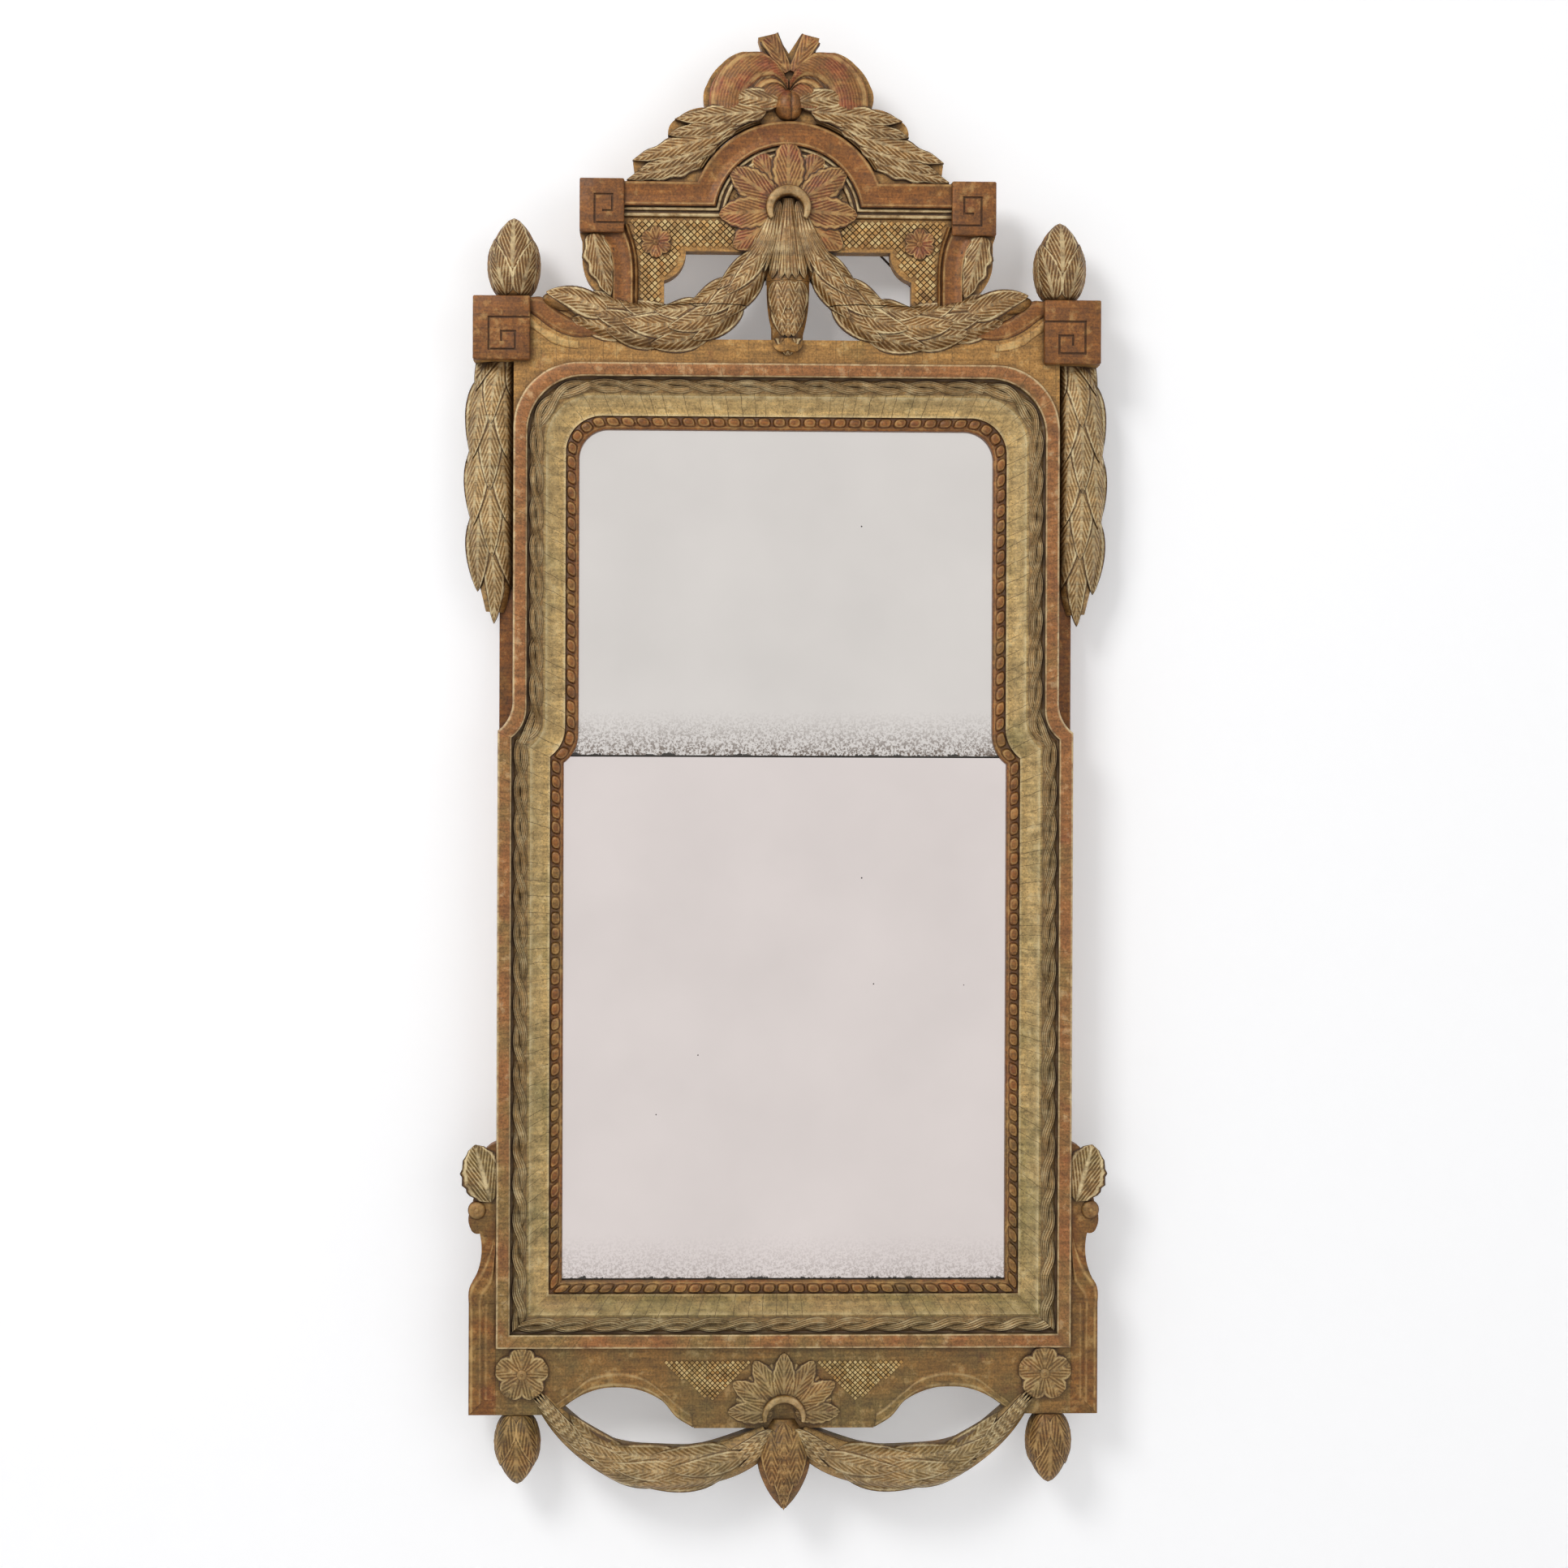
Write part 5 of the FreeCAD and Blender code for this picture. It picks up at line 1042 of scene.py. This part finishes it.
def bow_knot(carving):
    # the knot with its crease
    s, t, under, faces = blank(rows=17, cols=17)
    along, across, far = rounded(s, t)
    px = along * KNOT_HALF_WIDE
    crease = np.exp(-((px - 2) / 1.6) ** 2)
    high = KNOT_RELIEF * np.sqrt(np.clip(1 - far ** 2.4, 0, 1)) - 2.0 * crease
    deep = BOARD - np.where(under, 0, np.maximum(high, 0))
    points = np.stack([px, deep, KNOT_Z + across * KNOT_HALF_TALL], axis=-1)
    carving.put(points, faces, np.where(far > 0.99, -1, np.where(crease > 0.6, -1, 0.1)), tone=0.4, kind=0)


def make_bow():
    carving = Carving()
    for side in (1, -1):
        bow_loop(carving, side)
    lay = flat()
    # the cut ends of the ribbon above the knot
    for foot, lean, length in ((-1, 119, 34), (4, 62, 33)):
        leaf(carving, lay, foot, b=256, lean=lean, length=length, width=18, lift=(4, 6), arch=1.2,
             outline=lambda s: 0.55 + 0.45 * s, depth=8, rows=15)
    # a leaf at each side of the knot
    for side in (1, -1):
        leaf(carving, lay, a=side * 8, b=229, lean=6 if side > 0 else 174, length=50, width=22,
             lift=(7.5, 5.5), arch=2.2, depth=8, kind=1)
    bow_knot(carving)
    carving.piece("ribbon_bow", "gilded_carving", [red_gilding, carved_gilding], ("ribbon_bow",))


# leaves of a spray: foot, tip, width, height over the board
SPRAY_LEAVES = [((73, 178), (142, 160.5), 19, 2.6), ((63, 190), (132, 168), 19, 3.8),
                ((56, 201), (137, 177), 21, 5.0), ((46, 206), (100, 190), 17, 4.4),
                ((40, 213), (106, 199), 19, 6.2), ((20, 220), (100, 213), 21, 7.4)]


def make_sprays():
    carving = Carving()
    lay = flat()
    # stems along the arch, then leaves towards the block, the nearer to the knot the higher
    turn = np.radians(np.linspace(74, 30, 7))
    stem = [np.stack([r * np.cos(turn), ARCH_Z + r * np.sin(turn)], axis=-1) for r in (97, 87)]
    strip(carving, *stem, heights=[1, 4.5, 3.6, 5, 4, 5, 3.6, 4.5, 1],
          wear_and_shade_steps=[-1, .7, -.8, .8, -1, .8, -.8, .7, -1])
    for base, tip, width, high in SPRAY_LEAVES:
        dx, dz = tip[0] - base[0], tip[1] - base[1]
        leaf(carving, lay, a=base[0], b=base[1], lean=math.degrees(math.atan2(dz, dx)),
             length=math.hypot(dx, dz), width=width, lift=(high, high - 0.4), arch=2.2, outline=acanthus,
             rows=21, cols=11, depth=8, rib=0.8)
    both_sides(carving, "laurel_spray", "gilded_carving", [carved_gilding], "laurel_spray")


# girth of a finial along its height, as shares, and the plane of its axis
EGG_SHARES = [(0, .60), (.06, .72), (.15, .86), (.28, .97), (.4, 1), (.52, .97), (.66, .86), (.8, .66),
              (.9, .43), (.97, .2), (1, 0.02)]
EGG_Y, EGG_BACK_SHARE = -39, 0.6


def egg(x, z, radius, length, up):
    # surface of a finial: along runs from its foot, across round its front; flat at the back
    shares = np.array(EGG_SHARES)

    def girth(a):
        return radius * np.interp(a / length, shares[:, 0], shares[:, 1])

    def lay(a, b, h):
        a = np.clip(a, 0, length)
        wide = np.maximum(girth(a), radius * 0.12)
        turn = np.clip(b / wide, -2.2, 2.2)
        r = girth(a) + h
        y = np.minimum(EGG_Y - r * np.cos(turn), EGG_Y + radius * EGG_BACK_SHARE)
        return np.stack([x + r * np.sin(turn), y, z + up * a], axis=-1)
    lay.girth = girth
    return lay


def make_finial(name, x, z, radius, length, up):
    carving = Carving()
    lay = egg(x, z, radius - 1.2, length - 0.5, up)
    bpy.ops.object.select_all(action="DESELECT")
    bpy.ops.mesh.primitive_uv_sphere_add(segments=28, ring_count=18, radius=1)
    ball = bpy.context.object
    unit = np.array([v.co[:] for v in ball.data.vertices])
    faces = [tuple(p.vertices) for p in ball.data.polygons]
    bpy.data.objects.remove(ball)
    a = (unit[:, 2] + 1) / 2 * (length - 0.5)
    turn = np.arctan2(unit[:, 0], -unit[:, 1])
    r = np.where(np.abs(unit[:, 2]) > 0.9999, 0, lay.girth(a))
    y = np.minimum(EGG_Y - r * np.cos(turn), EGG_Y + radius * EGG_BACK_SHARE)
    points = np.stack([x + r * np.sin(turn), y, z + up * a], axis=-1)
    carving.put(points, faces if up > 0 else [face[::-1] for face in faces], 0.0, tone=0.4)
    count = carving.count
    more = dict(rows=19, cols=13, depth=2.5)
    leaf(carving, lay, a=length * 0.3, b=0, lean=0, length=length * 0.69, width=radius * 1.5, lift=(0.2, 0.5),
         outline=petal_outline, **more)
    for side in (1, -1):
        leaf(carving, lay, a=0.5, b=side * radius * 1.35, lean=side * 2, length=length * 0.8,
             width=radius * 1.2, lift=(0.2, 0.4), **more)
        leaf(carving, lay, a=0.5, b=side * radius * 0.26, lean=side * 16, length=length * 0.74,
             width=radius * 1.12, lift=(0.5, 1.1), **more)
    if up < 0:
        carving.faces = [face[::-1] if min(face) >= count else face for face in carving.faces]
    both_sides(carving, name, "gilded_carving", [carved_gilding if up > 0 else foot_gilding], name)


# carvings beside the moulding keep this far from it
BESIDE = 0.2


def make_side_drops():
    lay = along_stations(SIDE_DROP, relief=17.0, base=FACE)
    carving = Carving()
    s, t, under, faces = blank(rows=40, cols=11)
    a = s * (lay.length - 12)
    points = lay(a, t * lay.half(a) * 0.94, np.full(len(a), -1.0))
    points[:, 1] = np.where(under, FACE, np.minimum(points[:, 1], FACE))
    points[:, 0] = np.maximum(points[:, 0], UP_OUTER + BESIDE)
    carving.put(points, faces, 0, tone=0.4)

    def beside(a, b, h):
        points = lay(a, b, h)
        points[:, 0] = np.maximum(points[:, 0], UP_OUTER + BESIDE)
        return points
    # half leaves at the edges, then the middle column that covers their roots
    more = dict(lift=(-0.8, 1.8), arch=0.8, rows=19, cols=11)
    for n in range(4):
        a = n * 58 - 46
        for side in (1, -1):
            leaf(carving, beside, a, b=side * 9.5, lean=side * 5, length=74, width=25, **more)
    for n in range(4):
        a = n * 58.5 - 20
        leaf(carving, beside, a, b=0, lean=0, length=75, width=24 if n < 3 else 20, **more)
    both_sides(carving, "side_drop", "gilded_carving", [drop_gilding], "side_drop")


# leaves of the pendant: across, lean, length, width
PENDANT_LEAVES = [(-12, 2, 50, 21), (12, -2, 50, 21), (-6, 5, 66, 22), (6, -5, 66, 22), (0, 0, 78, 24)]


def make_apron():
    lay = along_stations(APRON_SWAG, relief=11.0)
    carving = Carving()
    body(carving, lay, lay.length, shrink=0.96)
    for n in range(4):
        b = -6 + 4 * n
        leaf(carving, lay, a=-6, b=b * 0.5, lean=b * 1.3, length=42, width=8, lift=(0.2, 0.6), arch=0.8)
    rows_of_leaves(carving, lay, first=28, last=lay.length - 30, pitch=44, length=72, width=22, spread=1,
                   lift=(-0.6, 1.3), arch=0.7, line=0.7)
    for n in range(4):
        b = -4 + 2.7 * n
        leaf(carving, lay, a=lay.length - 74, b=b, lean=0, length=80, width=7, lift=(0.6, 1.2), arch=0.9)
    both_sides(carving, "apron_swag", "gilded_carving", [drop_gilding], "apron_swag")
    lay = along_stations(PENDANT, relief=15.0)
    carving = Carving()
    body(carving, lay, lay.length, shrink=0.97, rows=20)
    for b, lean, size, width in PENDANT_LEAVES:
        leaf(carving, lay, a=8 if b else 2, b=b, lean=lean, length=size, width=width)
    carving.piece("apron_pendant", "gilded_carving", [foot_gilding], ("apron_pendant",))


# borders and ribbons, each by its two edges
EAR_BORDER = ([(254, -752), (257, -775), (266, -797), (277, -814), (277, -838), (277, -880), (277, -925.5)],
              [(254, -762), (254.2, -785), (256, -808), (265, -824), (265.5, -845), (265.5, -880),
               (265.5, -914)])
EAR_PANEL = ([(264, -828), (264.4, -850), (264.4, -880), (264.4, -912.5)],
             [(254, -828), (254, -850), (254, -880), (254, -912.5)])
APRON_BORDER = ([(203.5, -918), (187, -906), (170, -893), (147, -888), (124, -893), (107, -905), (92, -918),
                 (82, -925)],
                [(203.5, -925.5), (187, -914), (170, -904.5), (147, -901.8), (124, -904.5), (107, -914),
                 (95, -928), (80, -937.5)])
PALE_RIBBON = ([(226, 40), (217, 32), (206, 26), (195, 21), (184, 19)],
               [(226, 30), (217.6, 24.5), (207.6, 17), (195, 13), (184, 11.6)])
BROWN_RIBBON = ([(226, 57), (216, 57), (207.6, 50), (195, 41), (181, 36), (170, 32), (158.6, 27.3)],
                [(226, 43), (219, 38), (209.5, 30.7), (197, 24.5), (184.6, 22), (171, 23), (158.6, 26.7)])
EAR_EYE = (270.5, -745.5)


def make_ears():
    carving = Carving()

    def beside(a, b, h):
        return np.stack([np.maximum(a, LOW_OUTER + BESIDE), BOARD - h, b], axis=-1)
    leaf(carving, beside, a=258, b=-738, lean=74, length=52, width=40, lift=(2.4, 0.8), arch=1.6,
         outline=petal_outline, rows=15, cols=23, depth=3)
    dome(carving, *EAR_EYE, wide=16, tall=17, relief=4.5, rows=11, cols=11, kind=1, wear=0.5)
    dome(carving, *EAR_EYE, wide=7, tall=7, relief=6.2, kind=1, wear=0.7)
    # border of the block with its incised line
    strip(carving, *EAR_BORDER, heights=[.3, 1.2, 1.0, 1.0, 1.2, .2], wear_and_shade_steps=[0, .8, .1, .1, .6, 0], kind=1)
    strip(carving, *EAR_PANEL, heights=[.2, .9, .8, .8, .3], wear_and_shade_steps=[0, .5, .1, .1, 0], kind=1)
    both_sides(carving, "ear_carving", "gilded_carving", [carved_gilding, band_gilding])
    carving = Carving()
    # raised border over the apron's openings, beside its incised line
    strip(carving, *APRON_BORDER, heights=[.2, 1.1, .9, .9, 1.1, .3], wear_and_shade_steps=[0, .7, .1, .1, .9, 0], kind=0)
    both_sides(carving, "apron_border", "gilded_board", [apron_gilding])


def make_plank_ribbons():
    # flat ribbon tails from the corner blocks, a brown one over a pale one
    carving = Carving()
    strip(carving, *PALE_RIBBON, heights=[.2, .8, .8, .7, .2], wear_and_shade_steps=[0, .5, .5, .7, -1], kind=0, tone=0.9)
    strip(carving, *BROWN_RIBBON, heights=[.3, 1.7, 2.0, 1.9, 1.7, .3], wear_and_shade_steps=[-1, .5, 0, 0, .5, -1], kind=1)
    both_sides(carving, "ribbon_tail", "gilded_carving", [board_gilding, band_gilding])
    carving = Carving()
    leaf(carving, flat(), a=0, b=21, lean=270, length=14, width=25, lift=(9, 1), arch=2.5,
         outline=lambda s: (1 - s) ** 0.6, depth=12)
    carving.piece("drop_tip", "gilded_carving", [carved_gilding])


make_swags()
make_drop()
make_rosettes()
make_flowers()
make_arch()
make_lattices()
make_blocks()
make_brackets()
make_bow()
make_sprays()
make_finial("top_finial", x=241, z=57, radius=23.5, length=71, up=1)
make_finial("bottom_finial", x=235, z=-926, radius=20.5, length=63, up=-1)
make_side_drops()
make_apron()
make_ears()
make_plank_ribbons()


# Camera where the photograph was taken from, wall, floor and light
CAMERA_PLACE, CAMERA_TURN, LENS = (-81.8, -2600, -355.9), (1.795, -0.314, 0.209), 66.52
WALL_GLOW, ROOM_LIGHT = 0.23, 0.45
LAMPS = [("key", (-1.5, -2.4, 1.5), 1.1, 46), ("fill", (1.9, -2.6, 0.2), 1.8, 10)]
LAMPS_AIM = (0, 0, -0.35)


def place_camera():
    yaw, pitch, roll = (math.radians(turn) for turn in CAMERA_TURN)
    ahead = Vector((math.sin(yaw) * math.cos(pitch), math.cos(yaw) * math.cos(pitch), math.sin(pitch)))
    right = Vector((math.cos(yaw), -math.sin(yaw), 0))
    up = right.cross(ahead)
    right, up = right * math.cos(roll) + up * math.sin(roll), up * math.cos(roll) - right * math.sin(roll)
    lens = bpy.data.cameras.new("photo_camera")
    lens.sensor_width = 36
    lens.lens = LENS
    camera = bpy.data.objects.new("photo_camera", lens)
    bpy.context.collection.objects.link(camera)
    turn = Matrix((right, up, -ahead)).transposed().to_4x4()
    camera.matrix_world = Matrix.Translation(Vector(CAMERA_PLACE) * MM) @ turn
    bpy.context.scene.camera = camera


def seen_rays(tree, *more):
    # 1 for what the camera sees, by itself or in the plates
    path = add(tree, "LightPath")
    seen = sums(tree, "MAXIMUM", (path, "Is Camera Ray"), (path, "Is Glossy Ray"))
    for kind in more:
        seen = sums(tree, "MAXIMUM", (seen, 0), (path, kind))
    return seen


def wall_paint():
    # white paint with a little glow of its own, as in the overlit photograph
    paint, tree, shader = fresh_material("white_wall_paint")
    shader.inputs["Base Color"].default_value = linear("#f4f4f5")
    shader.inputs["Roughness"].default_value = 0.9
    lift = sums(tree, "MULTIPLY", (seen_rays(tree), 0), WALL_GLOW)
    glow = add(tree, "Emission", Color=(1, 1, 1, 1), Strength=(lift, 0))
    total = add(tree, "AddShader", _0=(shader, "BSDF"), _1=(glow, "Emission"))
    tree.links.new(total.outputs[0], tree.nodes["Material Output"].inputs["Surface"])
    return paint


def make_wall_and_floor():
    paint = wall_paint()
    bpy.ops.object.select_all(action="DESELECT")
    bpy.ops.mesh.primitive_plane_add(size=8, location=(0, 0.004, 0.4), rotation=(math.pi / 2, 0, 0))
    wall = bpy.context.object
    bpy.ops.mesh.primitive_plane_add(size=1, location=(0, -1.4, -1.6))
    floor = bpy.context.object
    floor.scale = (8, 2.9, 1)
    for thing, name in ((wall, "wall"), (floor, "floor")):
        thing.name = name
        thing.data.materials.append(paint)
        choose(thing)
        bpy.ops.object.transform_apply(location=True, rotation=True, scale=True)


def light_room():
    world = bpy.data.worlds.new("studio")
    world.use_nodes = True
    bpy.context.scene.world = world
    tree = world.node_tree
    sky = tree.nodes["Background"]
    seen = seen_rays(tree, "Is Transmission Ray")
    light = ranged(tree, (seen, 0), wanted=(ROOM_LIGHT, 1.0))
    tree.links.new(light.outputs["Result"], sky.inputs["Strength"])
    sky.inputs["Color"].default_value = (1, 1, 1, 1)
    for name, place, size, power in LAMPS:
        lamp = bpy.data.lights.new(name, "AREA")
        lamp.size = size
        lamp.energy = power
        thing = bpy.data.objects.new(name, lamp)
        bpy.context.collection.objects.link(thing)
        thing.location = place
        thing.rotation_euler = (Vector(LAMPS_AIM) - Vector(place)).to_track_quat("-Z", "Y").to_euler()
    bpy.context.scene.view_settings.view_transform = "Standard"


place_camera()
make_wall_and_floor()
light_room()
